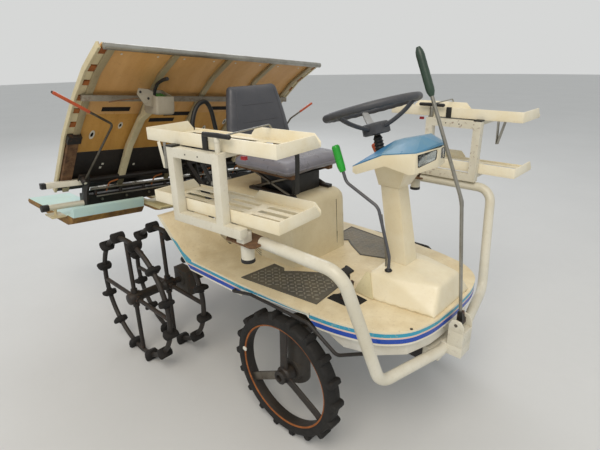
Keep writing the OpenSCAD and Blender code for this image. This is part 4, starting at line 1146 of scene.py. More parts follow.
# %% Guard pipes
guard_bm = bmesh.new()
for side in (RIGHT, LEFT):
    path = [at(971, 556 * side, 914), at(1324, 564 * side, 914), at(1392, 430 * side, 470),
            at(1452, 110 * side, 452), at(1452, 22 * side, 452)]
    sweep(guard_bm, rounded_path(path, 70, 12), 21, 28, 0)
    outline = [(840, 617), (990, 617), (990, 521), (840, 521)]
    soft = []
    for i, (x, y) in enumerate(outline):
        for other in (outline[i - 1], outline[(i + 1) % 4]):
            step = (Vector(other) - Vector((x, y))).normalized() * 12
            soft.append((x + step.x, (y + step.y) * side))
    loft(guard_bm, [[at(x, y, 910) for x, y in soft], [at(x, y, 918) for x, y in soft]], 1)
    turned(guard_bm, Matrix.Translation(at(925, side * 583, 0)), [(24, 848), (24, 909.5)], 28, 0)
    turned(guard_bm, Matrix.Translation(at(925, side * 583, 0)),
           [(17, 836), (25.5, 837), (25.5, 850), (24, 851)], 28, 2)
block(guard_bm, (1395, -138, 426), (1462, 138, 466), 0)
block(guard_bm, (1440, -80, 432), (1522, 0, 476), 0)
piece("guard_pipes_dressed", guard_bm, [white_enamel, rust_steel, black_pp], "chassis", ("guard_pipes",),
      2.5, 3, sharp=50, smooth=45)
print("guard pipes made of", len(made[-1].data.polygons), "faces")

# %% [markdown]
# A thin black pipe runs over each front wheel and back under the deck. The foot of the front lever is held
# between two round-topped cheeks on a block of the guard pipe.

# %% Wheel guards and lever bracket
thin_bm = bmesh.new()
for side in (RIGHT, LEFT):
    way = [(655, 441, 566), (655, 456, 566), (772, 456, 591), (1090, 456, 591), (1215, 441, 500),
           (1300, 230, 438), (1300, 141, 438)]
    sweep(thin_bm, rounded_path([at(x, side * y, z) for x, y, z in way], 28), 7, 14)
piece("wheel_guard_pipes_dressed", thin_bm, [black_enamel], "chassis", ("wheel_guard_pipes",))
bracket_bm = bmesh.new()
block(bracket_bm, (1462, -80, 476), (1522, 0, 538))
for y in (-80, -7):
    side_plate(bracket_bm, [(1462, 536), (1522, 536), (1520, 566), (1508, 584), (1490, 588), (1472, 584),
                            (1463, 566)], y, y + 7)
sweep(bracket_bm, [at(1490, -82, 566), at(1490, 1, 566)], 7, 20, 1)
piece("front_lever_bracket", bracket_bm, [white_enamel, dull_steel], "chassis", ("assist_lever_bracket",),
      2.5, 3)
print("pieces so far:", len(made))

# %% [markdown]
# ## Front lever
# The long lever in front is a plain plated rod with a dark joint at its kink and a dark rubber grip. It tips
# the machine over dykes from the ground.

# %% Front lever
assist_bm = bmesh.new()
way = [at(1488, -40, 577), at(1441, -40, 1032), at(1291, -40, 1389)]
sweep(assist_bm, rounded_path(way, 60), 6.5, 18, 0)
sweep(assist_bm, [at(1443.3, -40, 1012), at(1440.5, -40, 1030), at(1434, -40, 1048)], [6.9, 7.4, 6.9], 18,
      0)
grip_line = [at(1296, -40, 1377).lerp(at(1230, -40, 1534), t / 12) for t in range(13)]
sweep(assist_bm, grip_line, [8, 13.5, 15, 14.6, 15, 14.6, 15, 14.6, 15, 14.6, 15, 13, 7], 20, 2)
sweep(assist_bm, [at(1490, -56, 566), at(1490, -24, 566)], 14, 24, 1)
side_plate(assist_bm, [(1478, 560), (1502, 560), (1496, 610), (1478, 608)], -51, -29, 1)
piece("front_lever_dressed", assist_bm, [zinc_steel, black_enamel, dark_green_pvc], "assist_lever",
      ("assist_lever",), smooth=50)
print("front lever reaches", round(way[-1].z, 2), "m")

# %% [markdown]
# ## Seedling racks
# Two trays hang on a frame of 34 mm square tube that swings about its pin. A tray is a tall-sided sheet of
# polypropylene whose floor has three groups of long slots. It is made as a plate of cells: cells that are
# slots are left out, and walls close each gap between a full cell and an empty one.

# %% Slotted plate
def slotted_plate(bm, put, xs, ys, z0, z1, is_slot, index=0):
    """A plate of cells between the lines xs and ys, with the cells that are slots left open."""
    points = {}

    def corner(i, j, z):
        """The one vertex at a crossing of lines, made when it is first asked for."""
        if (i, j, z) not in points:
            points[i, j, z] = bm.verts.new(put(xs[i], ys[j], z))
        return points[i, j, z]

    def full(i, j):
        """Whether a cell exists and is no slot."""
        return 0 <= i < len(xs) - 1 and 0 <= j < len(ys) - 1 and not is_slot(i, j)

    for i in range(len(xs) - 1):
        for j in range(len(ys) - 1):
            if not full(i, j):
                continue
            for z in (z0, z1):
                ring = [corner(i, j, z), corner(i + 1, j, z), corner(i + 1, j + 1, z), corner(i, j + 1, z)]
                bm.faces.new(ring).material_index = index
            for di, dj, a, b in ((-1, 0, (i, j), (i, j + 1)), (1, 0, (i + 1, j), (i + 1, j + 1)),
                                 (0, -1, (i, j), (i + 1, j)), (0, 1, (i, j + 1), (i + 1, j + 1))):
                if not full(i + di, j + dj):
                    ring = [corner(*a, z0), corner(*b, z0), corner(*b, z1), corner(*a, z1)]
                    bm.faces.new(ring).material_index = index
print("slotted plate ready")

# %% [markdown]
# The outer wall and both ends are one wall that leans in a little at its open ends. The inner wall is tall
# only over its front half, where it keeps the seedling box from sliding off.

# %% Trays
def tray(bm, side, rim_z):
    """One tray: its floor, a full outer wall, end walls that stop short, and a part wall inside."""
    def put(x, y, z):
        """A point of the tray, from its rear outer corner."""
        return racked(side, -490 + x, -13 + y, rim_z - 46 + z)

    xs = [2, 34, 212, 250, 400, 438, 616, 648]
    ys = [2, 22, 49, 72, 99, 122, 149, 172, 199, 234]
    slotted_plate(bm, put, xs, ys, 1, 5.5, lambda i, j: i % 2 == 1 and j % 2 == 1)
    wall = []
    for z, end in ((0, 224), (14, 224), (46, 198)):
        wall.append([put(x, y, z) for x, y in ((0, 0), (650, 0), (650, end), (645, end), (645, 5), (5, 5),
                                               (5, end), (0, end))])
    loft(bm, wall)
    for outline in ([(330, 1), (648, 1), (648, 20), (622, 46), (354, 46), (330, 20)],
                    [(2, 1), (332, 1), (332, 14), (2, 14)]):
        plate(bm, [put(x, 231, z) for x, z in outline], [put(x, 236, z) for x, z in outline])


for side_name, side in SIDES.items():
    tray_bm = bmesh.new()
    tray(tray_bm, side, 1268)
    tray(tray_bm, side, 1022)
    piece("trays_" + side_name, tray_bm, [tray_pp], "rack_" + side_name, ("seedling_trays_" + side_name,),
          1.4, 2)
print("trays have", len(made[-1].data.polygons), "faces")

# %% [markdown]
# The rack's frame has the right shape already and gets rounded edges. Its black end cap, the black T-shaped
# clamp that pins the tray, the thin rod that holds the seedling box and the webbing straps are added.

# %% Rack frames and fittings
for side_name, side in SIDES.items():
    dressed("rack_frame_" + side_name, [white_enamel], 3.5, steps=3, sharp=50)
    fit_bm = bmesh.new()

    def put(x, y, z, side=side):
        """A point of this side's rack."""
        return racked(side, x, y, z)

    block(fit_bm, (-328, -52, 1219), (-292, -16, 1225), 0, put)
    for x in (-225, -160):
        sweep(fit_bm, [put(x, -51.6, 1201), put(x, -50.8, 1201)], 3, 12, 2)
    sweep(fit_bm, [put(-75, -34, 1219), put(-75, -34, 1260)], 9, 16, 1)
    sweep(fit_bm, [put(-75, -34, 1256), put(-75, -34, 1272)], [11, 9], 16, 1)
    bar = [put(-140, -36, 1276), put(-136, -36, 1278), put(-75, -36, 1279), put(-14, -36, 1278),
           put(-10, -36, 1276)]
    sweep(fit_bm, bar, [5, 8, 8.5, 8, 5], 14, 0)
    block(fit_bm, (-166, -20, 1220), (-142, -12.6, 1269), 2, put)
    rod_way = [put(-60, -24, 1276), put(-62, 208, 1283), put(-62, 222, 1270)]
    sweep(fit_bm, rounded_path(rod_way, 10), 3.2, 12, 4)
    plate(fit_bm, [put(x, y, z) for x, y, z in ((-300, 0, 1214), (-90, 0, 1214), (-90, 150, 1219),
                                                (-300, 150, 1219))],
          [put(x, y, z) for x, y, z in ((-300, 0, 1216), (-90, 0, 1216), (-90, 150, 1221),
                                        (-300, 150, 1221))], 2)
    sweep(fit_bm, [put(-418, -15, 1222), put(-396, -15, 1124)], 1, 4, 1,
          [(5.5, 2), (-5.5, 2), (-5.5, -2), (5.5, -2)])
    sweep(fit_bm, [put(-388, -12, 1222), put(-392, -12, 1122)], 1, 4, 4,
          [(5, 2), (-5, 2), (-5, -2), (5, -2)])
    strap_x = 60
    sweep(fit_bm, [put(strap_x, 212, 1222), put(strap_x + 1, 213, 1150), put(strap_x - 2, 212, 1040)], 1,
          4, 2, [(11, 1.2), (-11, 1.2), (-11, -1.2), (11, -1.2)], Vector((1, 0, 0)))
    block(fit_bm, (-12, 6, 1199), (8, 18, 1211), 3, put)
    piece("rack_fittings_" + side_name, fit_bm, [black_pp, white_enamel if side == RIGHT else zinc_steel,
                                                 hose_rubber, red_plastic, zinc_steel],
          "rack_" + side_name, slot="black_plastic", rounding_mm=0.8)
print("racks done, pieces so far:", len(made))

# %% [markdown]
# ## Seat
# The cushion is foam under grey vinyl: crowned, with sides that pull in between the corners and a piped seam
# round its lower edge. The back is a trapezoid with a rounded top and two sewn lines. Both start as rounded
# grids a little smaller than they should be, and cloth under pressure swells them as the foam does.

# %% Padded shapes
def pad_mesh(half, rounding, put, steps=22):
    """A closed grid box with rounded corners, shaped by put from its own half sizes in mm."""
    bm = bmesh.new()
    bmesh.ops.create_cube(bm, size=2)
    bmesh.ops.subdivide_edges(bm, edges=bm.edges[:], cuts=steps, use_grid_fill=True)
    for v in bm.verts:
        p = Vector((v.co.x * half[0], v.co.y * half[1], v.co.z * half[2]))
        core = Vector([max(-(h - rounding), min(h - rounding, c)) for c, h in zip(p, half)])
        away = p - core
        if away.length > 0:
            p = core + away.normalized() * min(rounding, max(abs(c) for c in away))
        v.co = put(p)
    return bm
print("pads are grids of", 23 * 23 * 6, "faces")

# %% [markdown]
# Cloth under a little air pressure swells the pad as foam does under its cover. Each point may move only a
# few millimetres, so the pad keeps its form and place. Seams are laid on the finished surface.

# %% Swelling and seams
def swell(thing, limit_mm, pull=4.0, voxel_mm=6):
    """Blows a pad up as cloth, keeps each point within a limit of where it was, and smooths it."""
    remesh = thing.modifiers.new("even", "REMESH")
    remesh.mode = "VOXEL"
    remesh.voxel_size = voxel_mm * MM
    settle(thing)
    before = [v.co.copy() for v in thing.data.vertices]
    cloth = thing.modifiers.new("foam", "CLOTH")
    cloth.settings.use_pressure = True
    cloth.settings.uniform_pressure_force = pull
    cloth.settings.effector_weights.gravity = 0
    for number in range(1, 21):
        scene.frame_set(number)
    settle(thing)
    scene.frame_set(1)
    for v, start in zip(thing.data.vertices, before):
        move = v.co - start
        if move.length > limit_mm * MM:
            v.co = start + move.normalized() * limit_mm * MM
    smooth = thing.modifiers.new("even", "SMOOTH")
    smooth.iterations = 6
    settle(thing)
    thing.data.polygons.foreach_set("use_smooth", [True] * len(thing.data.polygons))


def seated(path, thing, lift_mm):
    """Moves a path onto a pad's surface and lifts it a little."""
    tree = BVHTree.FromObject(thing, bpy.context.evaluated_depsgraph_get())
    out = []
    for p in path:
        place, normal, _, _ = tree.find_nearest(p)
        out.append(place + normal * lift_mm * MM)
    return out


print("pads swell in", "20 frames")

# %% [markdown]
# The cushion is crowned, dished where one sits, and drawn in at half its height.

# %% Cushion
def cushion_place(p):
    """Where a point of the plain pad lies on the crowned cushion."""
    crown = 1 - 0.35 * (p.x / 186) ** 4 - 0.35 * (p.y / 200) ** 4
    dish = 5 * math.exp(-((p.x / 90) ** 2 + (p.y / 95) ** 2))
    pull = 1 - 0.018 * (1 - (p.z / 29) ** 2)
    z = p.z * (crown if p.z > 0 else 1) - (dish if p.z > 0 else 0)
    return at(570 + p.x * pull, p.y * pull, 1056 + z)


cushion = piece("seat_cushion_pad", pad_mesh((188, 203, 29), 24, cushion_place), [seat_vinyl], "chassis",
                ("seat_cushion",), smooth=180)
swell(cushion, 7)
print("cushion", [round(v, 3) for v in cushion.dimensions])

# %% [markdown]
# The back leans rearward, narrows toward its top and bulges a little in front.

# %% Back
def back_place(p):
    """Where a point of the plain pad lies on the leaning back."""
    up = (p.z + 130) / 260
    width = 1 - 0.27 * max(0.0, up) ** 1.3
    lean_x = 376 - 50 * up
    belly = 4 * (1 - (2 * up - 1) ** 2)
    return at(lean_x + p.x + (belly if p.x > 0 else 0), p.y * width, 1124 + 258 * up)


backrest = piece("seat_back_pad", pad_mesh((21, 205, 130), 19, back_place), [back_vinyl], "chassis",
                 ("seat_back",), smooth=180)
swell(backrest, 4)
print("back", [round(v, 3) for v in backrest.dimensions])

# %% [markdown]
# A thick piped seam runs round the cushion's lower edge, and thin sewn lines divide the back. Their paths
# are dropped onto the pads' surfaces after the swelling, so they lie in the vinyl.

# %% Piping and sewn lines
seam_bm = bmesh.new()
ring = []
for a in range(96):
    t = 2 * math.pi * a / 96
    c, s = math.cos(t), math.sin(t)
    ring.append(at(570 + 189 * math.copysign(abs(c) ** 0.35, c), 204 * math.copysign(abs(s) ** 0.35, s),
                   1044))
ring = seated(ring, cushion, 0.6)
sweep(seam_bm, ring + ring[:1], 3.2, 10)
for up in (0.36, 0.66):
    row = [back_place(Vector((21, y, -130 + 260 * up))) for y in range(-120, 121, 12)]
    sweep(seam_bm, seated(row, backrest, 0.1), 1.6, 8, 1)
for y in (-158, 158):
    row = [back_place(Vector((21, y, z))) for z in range(-112, 113, 14)]
    sweep(seam_bm, seated(row, backrest, 0.1), 1.8, 8, 1)
piece("seat_piping", seam_bm, [seat_vinyl, back_vinyl], "chassis", slot="seat_vinyl", smooth=60)
print("seams have", len(made[-1].data.polygons), "faces")

# %% [markdown]
# The seat stands on rusty rails over black ones, with thin crossed struts between them, a cross bar and a
# black box in the middle. Two rusty angles run up behind to the back.

# %% Seat mount
mount_bm = bmesh.new()
for y in (-125, 125):
    side_plate(mount_bm, [(420, 1002), (722, 1002), (722, 1024), (420, 1024)], y - 15, y + 15, 0)
    side_plate(mount_bm, [(430, 912), (720, 912), (720, 926), (430, 926)], y - 15, y + 15, 1)
    for x0, x1 in ((450, 690), (690, 450)):
        sweep(mount_bm, [at(x0, y, 922), at(x1, y, 1006)], 7, 12, 2)
    side_plate(mount_bm, [(344, 1002), (462, 1002), (462, 1022), (372, 1022), (366, 1120), (346, 1120)],
               y - 12, y + 12, 0)
sweep(mount_bm, [at(570, -138, 964), at(570, 138, 964)], 8, 14, 2)
block(mount_bm, (470, -96, 913), (676, 96, 1000), 3)
piece("seat_mount", mount_bm, [rust_steel, black_enamel, dull_steel, black_pp], "chassis",
      ("seat_bracket",), 2, 2)
print("pieces so far:", len(made))

# %% [markdown]
# ## Rear wheels
# Each rear wheel is two steel rings on a long hub, and each ring carries twelve rubber paddles that grip the
# mud. A paddle is a thick rounded block, narrower at its tip, on a collar that is clamped round the ring.

# %% Places on a rear wheel
REAR_Z = (axle[0].z + axle[1].z) / 2 / MM


def spun(side, y, turn_deg, radial, tangent, sideways):
    """A point of a wheel: out along a spoke, along the rim and sideways, in mm."""
    t = math.radians(turn_deg)
    return at(radial * math.cos(t) - tangent * math.sin(t), side * (y + sideways),
              REAR_Z + radial * math.sin(t) + tangent * math.cos(t))


print("rear wheels stand", round(REAR_Z), "mm up")

# %% [markdown]
# A ring is a thin tube bent in a circle. Four spokes run in to sleeves on the hub, and each paddle is
# skinned from sections that narrow toward its tip.

# %% Rings, spokes and paddles
for side_name, side in SIDES.items():
    frame_bm, paddle_bm = bmesh.new(), bmesh.new()
    for y in (396, 592):
        rim = []
        for i in range(72):
            a = i * 5
            rim.append([spun(side, y, a, 323 + 12.5 * math.cos(b * math.pi / 7), 0,
                             12.5 * math.sin(b * math.pi / 7)) for b in range(14)])
        loft(frame_bm, rim, closed=True)
        for i in range(4):
            line = [spun(side, y, i * 90, r, 0, 0) for r in (27, 60, 200, 312)]
            sweep(frame_bm, line, [13, 11, 11, 11], 14)
            sweep(frame_bm, [spun(side, y, i * 90, r, 0, 0) for r in (29, 50)], 17, 14)
        for i in range(12):
            a = 15 + i * 30
            collar = [spun(side, y, a + b, 323, 0, 0) for b in (-3.4, -1.7, 0, 1.7, 3.4)]
            sweep(paddle_bm, collar, 17, 14)
            loops = []
            for radial, thick, wide in ((300, 13, 27), (312, 17, 35), (330, 14, 38.5), (344, 11, 37),
                                        (350.5, 8.5, 33), (352.6, 5, 28)):
                loops.append([spun(side, y, a, radial, thick * x, wide * w) for x,
                              w in ((1, 0.72), (0.7, 0.94), (0, 1), (-0.7, 0.94), (-1, 0.72), (-1, -0.72),
                                    (-0.7, -0.94), (0, -1), (0.7, -0.94), (1, -0.72))])
            loft(paddle_bm, loops)
    hub = Matrix.Translation(at(0, 0, REAR_Z)) @ Matrix.Rotation(math.radians(-90 * side), 4, "X")
    turned(frame_bm, hub, [(17, 97), (17, 360), (28, 362), (31, 366), (31, 420), (26, 424), (24, 440),
                           (24, 556), (31, 562), (31, 624), (26, 630), (12, 633)], 32)
    piece("rear_wheel_" + side_name, frame_bm, [wheel_enamel], "rear_wheel_" + side_name,
          ("rear_wheel_frame_" + side_name,), smooth=50)
    piece("paddles_" + side_name, paddle_bm, [paddle_rubber], "rear_wheel_" + side_name,
          ("rear_paddles_" + side_name,), smooth=60)
print("pieces so far:", len(made))

# %% [markdown]
# ## Front wheels
# The front tyre is solid rubber with straight lugs across it, on a pressed rim with three flat spokes. The
# side of the tyre meets the rim in a rusty line. The carcass is turned from a profile, and each lug is a
# rounded block sunk in it.

# %% Front wheels
FRONT_R = 284
FRONT_Y = 448
INNER_R = 229
LUG_H = 16


def hub_place(side, x, y, z):
    """An upright wheel's frame: Z points outward from the machine."""
    return Matrix.Translation(at(x, side * y, z)) @ Matrix.Rotation(math.radians(-90 * side), 4, "X")


for side_name, side in SIDES.items():
    place = hub_place(side, FRONT_AXLE, FRONT_Y, FRONT_R)
    tyre_bm = bmesh.new()
    crown = FRONT_R - LUG_H
    profile = [(INNER_R, -26), (INNER_R + 4, -29.5), (INNER_R + 10, -31), (crown - 14, -31),
               (crown - 5, -27), (crown - 1, -18), (crown, 0), (crown - 1, 18), (crown - 5, 27),
               (crown - 14, 31), (INNER_R + 10, 31), (INNER_R + 4, 29.5), (INNER_R, 26)]
    turned(tyre_bm, place, profile, 96, closed=True)
    for i in range(18):
        turn = place @ Matrix.Rotation(2 * math.pi * i / 18, 4, "Z")
        loops = []
        for r, half_t, half_w in ((crown - 12, 15, 29), (crown + 3, 13.5, 30), (crown + 11, 11, 29),
                                  (crown + 15, 9, 26.5), (crown + 15.9, 6.5, 23)):
            loops.append([turn @ (Vector((r, half_t * a, half_w * b)) * MM) for a,
                          b in ((1, 0.85), (0.8, 1), (-0.8, 1), (-1, 0.85), (-1, -0.85), (-0.8, -1),
                                (0.8, -1), (1, -0.85))])
        loft(tyre_bm, loops)
    piece("front_tyre_dressed_" + side_name, tyre_bm, [tyre_rubber], "front_wheel_" + side_name,
          ("front_tyre_" + side_name,), smooth=45)
    rim_bm = bmesh.new()
    turned(rim_bm, place, [(221, -22), (INNER_R - 0.4, -22), (INNER_R - 0.4, 22), (221, 22)], 96, 0,
           closed=True)
    turned(rim_bm, place, [(INNER_R - 7.5, 21.5), (INNER_R + 0.5, 21.5), (INNER_R + 0.5, 25.5),
                           (INNER_R - 6, 24.5)], 96, 1, closed=True)
    turned(rim_bm, place, [(15, -26), (33, -26), (37, -22), (37, 12), (30, 20), (30, 36), (24, 40),
                           (15, 40)], 40, 0, closed=True)
    for i, angle in enumerate((90, 210, 330)):
        turn = place @ Matrix.Rotation(math.radians(angle), 4, "Z")
        line = [turn @ (Vector((r, 0, z)) * MM) for r, z in ((30, 10), (60, 8), (190, 5), (222, 7))]
        sweep(rim_bm, line, 1, 8, 2 if i == 1 else 0, [(19, 3), (15, 5), (-15, 5), (-19, 3), (-19, -3),
                                                       (-15, -5), (15, -5), (19, -3)],
              place.to_3x3() @ Vector((0, 0, 1)))
    clip = place @ Matrix.Rotation(math.radians(172 if side == RIGHT else 8), 4, "Z")
    loops = []
    for r, half in ((214, 6), (219, 9), (232, 9), (236, 5)):
        loops.append([clip @ (Vector((r, half * a, 27 + 3 * b)) * MM) for a,
                      b in ((1, -1), (1, 1), (-1, 1), (-1, -1))])
    loft(rim_bm, loops, 3)
    piece("front_rim_dressed_" + side_name, rim_bm, [wheel_enamel, orange_rust, dull_steel, white_nylon],
          "front_wheel_" + side_name, ("front_rim_" + side_name,), 1.2, 2, smooth=45)
    dressed("front_drive_case_" + side_name, [cast_grey], 5, steps=3, sharp=40)
print("front wheels", FRONT_R * 2, "mm across")

# %% [markdown]
# ## Chassis and lifting links
# Under the body are the frame rails, the engine, castings and links. Little of them shows, but each has
# rounded edges and its own paint, because the part is also seen from below and behind.

# %% Chassis, links and planting gear
dressed("main_frame", [black_enamel], 3)
dressed("engine", [cast_grey], 12, steps=4)
dressed("transmission_case", [cast_grey], 10, steps=4)
dressed("front_axle", [cast_grey], 4, sharp=45)
dressed("rear_axle_case", [cast_grey], 5, sharp=45)
for node in ("lower_links", "upper_link", "unit_hitch"):
    dressed(node, [black_enamel], 2, sharp=45)
dressed("planting_cases", [cast_grey], 6, steps=3, sharp=45)
dressed("rotor_cases", [alloy], 5, steps=3, sharp=45)
dressed("planting_claws", [dull_steel], 1.5, sharp=45)
print("pieces so far:", len(made))

# %% [markdown]
# ## Seedling platform
# The platform is a sheet of tan plastic that follows a bent line, with grey-brown stiffeners under it
# every 300 mm. A strip that follows the bed's own line is one helper: the sheet itself, the slots and the
# rusty end channels are all made with it.

# %% The line of the bed
BED = [(-445, 800), (-385, 890), (-240, 1105), (-70, 1296), (55, 1408), (215, 1508)]
PLATFORM_Y = -80


def bed_point(z):
    """The sheet's place and its outward direction, in side view, at a height on the unit."""
    for (x0, z0), (x1, z1) in zip(BED, BED[1:]):
        if z <= z1 or (x1, z1) == BED[-1]:
            run = Vector((x1 - x0, z1 - z0)).normalized()
            return Vector((x0 + (x1 - x0) * (z - z0) / (z1 - z0), z)), Vector((-run.y, run.x))


def bed_strip(bm, y0, y1, z0, z1, off0, off1, index=0):
    """A plate along the bed between two heights; negative offsets lie under the sheet."""
    heights = [z0] + [z for _, z in BED if z0 + 1 < z < z1 - 1] + [z1]
    low, high = [], []
    for z in heights:
        place, out = bed_point(z)
        low.append(tuple(place + out * off0))
        high.append(tuple(place + out * off1))
    side_plate(bm, low + high[::-1], y0, y1, index, leaned)


def on_unit(p):
    """A place in mm on the machine, as one on the leaning unit."""
    return unleaned(at(p.x, p.y, p.z))
print("bed rises from", BED[0][1], "to", BED[-1][1], "mm")

# %% [markdown]
# The sheet is black at its foot, ochre in the middle and tan above. Five deep stiffeners part the rows, and
# low ribs run down each row. What faces the seedlings is cream.

# %% Platform sheet
sheet_bm = bmesh.new()
for z0, z1, index in ((800, 1018, 3), (1018, 1215, 2), (1215, 1508, 1)):
    bed_strip(sheet_bm, PLATFORM_Y - 642, PLATFORM_Y + 642, z0, z1, 0, 8, index)
for i in range(-2, 3):
    y = PLATFORM_Y + i * 300
    bed_strip(sheet_bm, y - 8, y + 8, 802, 1425, 7, 42, 0)
    bed_strip(sheet_bm, y - 8, y + 8, 1425, 1462, 7, 30, 0)
for i in range(4):
    for k in range(-4, 5):
        y = PLATFORM_Y + (i - 1.5) * 300 + k * 29
        bed_strip(sheet_bm, y - 4, y + 4, 830, 1470, 7.6, 11, 0)
for side in (RIGHT, LEFT):
    y = PLATFORM_Y + side * 642
    bed_strip(sheet_bm, y, y + side * 12, 800, 1500, -8, 20, 4)
bmesh.ops.recalc_face_normals(sheet_bm, faces=sheet_bm.faces[:])
for face in sheet_bm.faces:
    if face.material_index in (1, 2, 3) and face.normal.z > 0.3:
        face.material_index = 0
piece("seedling_platform_sheet", sheet_bm, [platform_cream, platform_tan, platform_ochre, platform_black,
                                            cream_enamel], "platform", ("seedling_platform",), 1.0, 2)
print("sheet has", len(made[-1].data.polygons), "faces")

# %% [markdown]
# Slots let the seedling mats be held; each is a strip of painted shade. A rusty channel closes each end of the
# platform, in patches of orange, brown and cream where the paint has gone. All are strips a little proud of
# the sheet.

# %% Slots and end channels
detail_bm = bmesh.new()
for y0, y1, z0, z1 in ((-591, -451, 1229, 1249), (-321, -175, 1168, 1188), (-248, -79, 1201, 1221),
                       (40, 180, 1229, 1249), (200, 340, 1168, 1188)):
    # Each slot is a strip of painted shade.
    bed_strip(detail_bm, y0, y1, z0, z1, -1.2, 0.5, 0)
for side in (RIGHT, LEFT):
    end = PLATFORM_Y + side * 640
    inner = end - side * 46
    z = 1122
    step = 0
    while z < 1488:
        tall = (34, 22, 40, 18)[step % 4]
        bed_strip(detail_bm, end, inner, z, z + tall, -7 if step % 2 else -4, 0.5, 1 if step % 2 else 2)
        z += tall + 3
        step += 1
    bed_strip(detail_bm, end - side * 2, end - side * 52, 868, 1112, -26, 0.5, 3)
    bed_strip(detail_bm, end + side * 4, end - side * 60, 1086, 1124, -32, -2, 4)
    bed_strip(detail_bm, end - side * 2, end - side * 30, 845, 872, -34, -2, 4)
print("details so far:", len(detail_bm.faces), "faces")

# %% [markdown]
# White rivets run in pairs under the top rail, and four oval catches of white nylon have a middle of painted
# shade.

# %% Rivets and catches
RIVET_Z = 1478


def oval(z, y, wide, tall, off):
    """A ring of points round a place on the bed, wide across it, tall along it and off it by a distance."""
    place, out = bed_point(z)
    up = Vector((out.y, -out.x))
    ring = []
    for a in range(20):
        turn = a * math.pi / 10
        p = place + out * off + up * (tall / 2 * math.sin(turn))
        ring.append(leaned(p.x, y + wide / 2 * math.cos(turn), p.y))
    return ring


for i in range(-2, 3):
    for y in (i * 300 + PLATFORM_Y - 74, i * 300 + PLATFORM_Y + 60):
        if abs(y - PLATFORM_Y) < 600:
            place, out = bed_point(RIVET_Z)
            centre = leaned(place.x, y, place.y)
            way = LEAN @ Vector((out.x, 0, out.y))
            sweep(detail_bm, [centre - way * 1.5 * MM, centre + way * MM], [4.6, 5.6], 14, 5)
for y, z0, z1 in ((-522, 912, 924), (-513, 934, 944), (-330, 912, 924), (120, 912, 924), (260, 912, 924)):
    bed_strip(detail_bm, y, y + 12, z0, z1, -0.8, 0.3, 5)
for y, z, wide, tall in ((-600, 1110, 26, 62), (-470, 1155, 22, 46), (60, 1110, 26, 62),
                         (190, 1155, 22, 46)):
    rings = [oval(z, y, wide * a, tall * b, off)
             for a, b, off in ((1, 1, -0.5), (1, 1, -3), (0.62, 0.596, -3), (0.55, 0.54, -1))]
    loft(detail_bm, rings, 5, ends=False)
    out = bed_point(z)[1]
    middle = [p + (LEAN @ Vector((out.x, 0, out.y))) * 0.4 * MM for p in rings[3]]
    # The catch's middle is a disc of painted shade.
    loft(detail_bm, [rings[3], middle], 0)
piece("platform_details", detail_bm, [painted_opening_shade, orange_rust, platform_cream, rust_steel, black_enamel,
                                      white_nylon], "platform", slot="platform_tan", rounding_mm=0.0)
print("platform details:", len(made[-1].data.polygons), "faces")

# %% [markdown]
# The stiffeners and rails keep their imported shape. They are one node, so their paint follows place: a bright
# rail on top, a grey one across the middle and black shoes where the platform slides.

# %% Platform rails
def rail_finish(p, n):
    """0 stiffener, 1 grey rail, 2 bright top rail, 3 sliding shoe."""
    q = on_unit(p)
    if math.hypot(q.x - 228, q.z - 1500) < 14.5:
        return 2
    if q.z < 872 and q.x > bed_point(q.z)[0].x + 1 and abs(n.y) < 0.5 and n.x > -0.9:
        return 3 if abs((q.y - PLATFORM_Y) % 300 - 150) < 134 else 0
    return 1 if 1279 < q.z < 1307 and q.x > bed_point(q.z)[0].x + 2.5 else 0


rail_bm = copied("platform_ribs")
rail_bm.normal_update()
for face in rail_bm.faces:
    face.material_index = rail_finish(in_mm(face.calc_center_median()), face.normal)
piece("platform_rails", rail_bm, [platform_rib, grey_enamel, zinc_steel, black_enamel], "platform",
      ("platform_ribs",), 2.0, 2)
print("platform rails:", len(made[-1].data.polygons), "faces")

# %% [markdown]
# ## Planting unit
# The unit's frame is black, with white square tubes at its ends that carry black caps, and pale inclined
# posts that guide the platform. The floats are pale blue above and brown with dried mud from their water
# line down; the middle float has yellowed.

# %% Planting frame
def frame_finish(p, n):
    """0 black beam, 1 white side tube, 2 black cap, 3 pale post."""
    q = on_unit(p)
    if abs(q.y) > 613 and q.x > -380 and q.z > 800 and q.z < 880:
        return 2 if abs(q.y) > 800 else 1
    if abs(q.y) > 613 and q.z < 760 and q.x > -416 and q.x < -370 and q.z > 712:
        return 2 if abs(q.y) > 786 else 1
    if abs(q.y) > 700 and q.z < 712:
        return 3
    return 3 if 384 < abs(q.y) < 420 and q.z > 866 and q.x > -372 else 0


unit_bm = copied("planting_frame")
for y in (-800, 800):
    cut(unit_bm, leaned(0, y, 0), LEAN @ Vector((0, 1, 0)))
unit_bm.normal_update()
for face in unit_bm.faces:
    face.material_index = frame_finish(in_mm(face.calc_center_median()), face.normal)
piece("planting_frame_dressed", unit_bm, [black_enamel, white_enamel, black_pp, cream_enamel],
      "planting_unit", ("planting_frame",), 2.0, 2, sharp=45)
print("frame has", len(made[-1].data.polygons), "faces")

# %% [markdown]
# A float is a flat board with a raised nose. Its copy is cut at the water line and at the upper edge of the
# mud, and each band is painted.

# %% Floats
def float_finish(p, n):
    """0 pale blue, 1 mud, 2 yellowed."""
    q = on_unit(p)
    if abs(q.y) < 236:
        return 2 if q.z > 656 or n.z > 0.5 else 1
    if n.z > 0.55:
        return 0
    return 0 if q.z > 696 else 1


float_bm = copied("floats")
for z in (656, 696):
    cut(float_bm, leaned(0, 0, z), LEAN @ Vector((0, 0, 1)))
float_bm.normal_update()
for face in float_bm.faces:
    face.material_index = float_finish(in_mm(face.calc_center_median()), face.normal)
piece("floats_dressed", float_bm, [float_pe, muddy_pe, yellow_pe], body_of["floats"], ("floats",), 7, 3,
      sharp=24)
print("floats have", len(made[-1].data.polygons), "faces")

# %% [markdown]
# Bolts, springs and thin rods fill the space under the platform, where the unit's workings show.

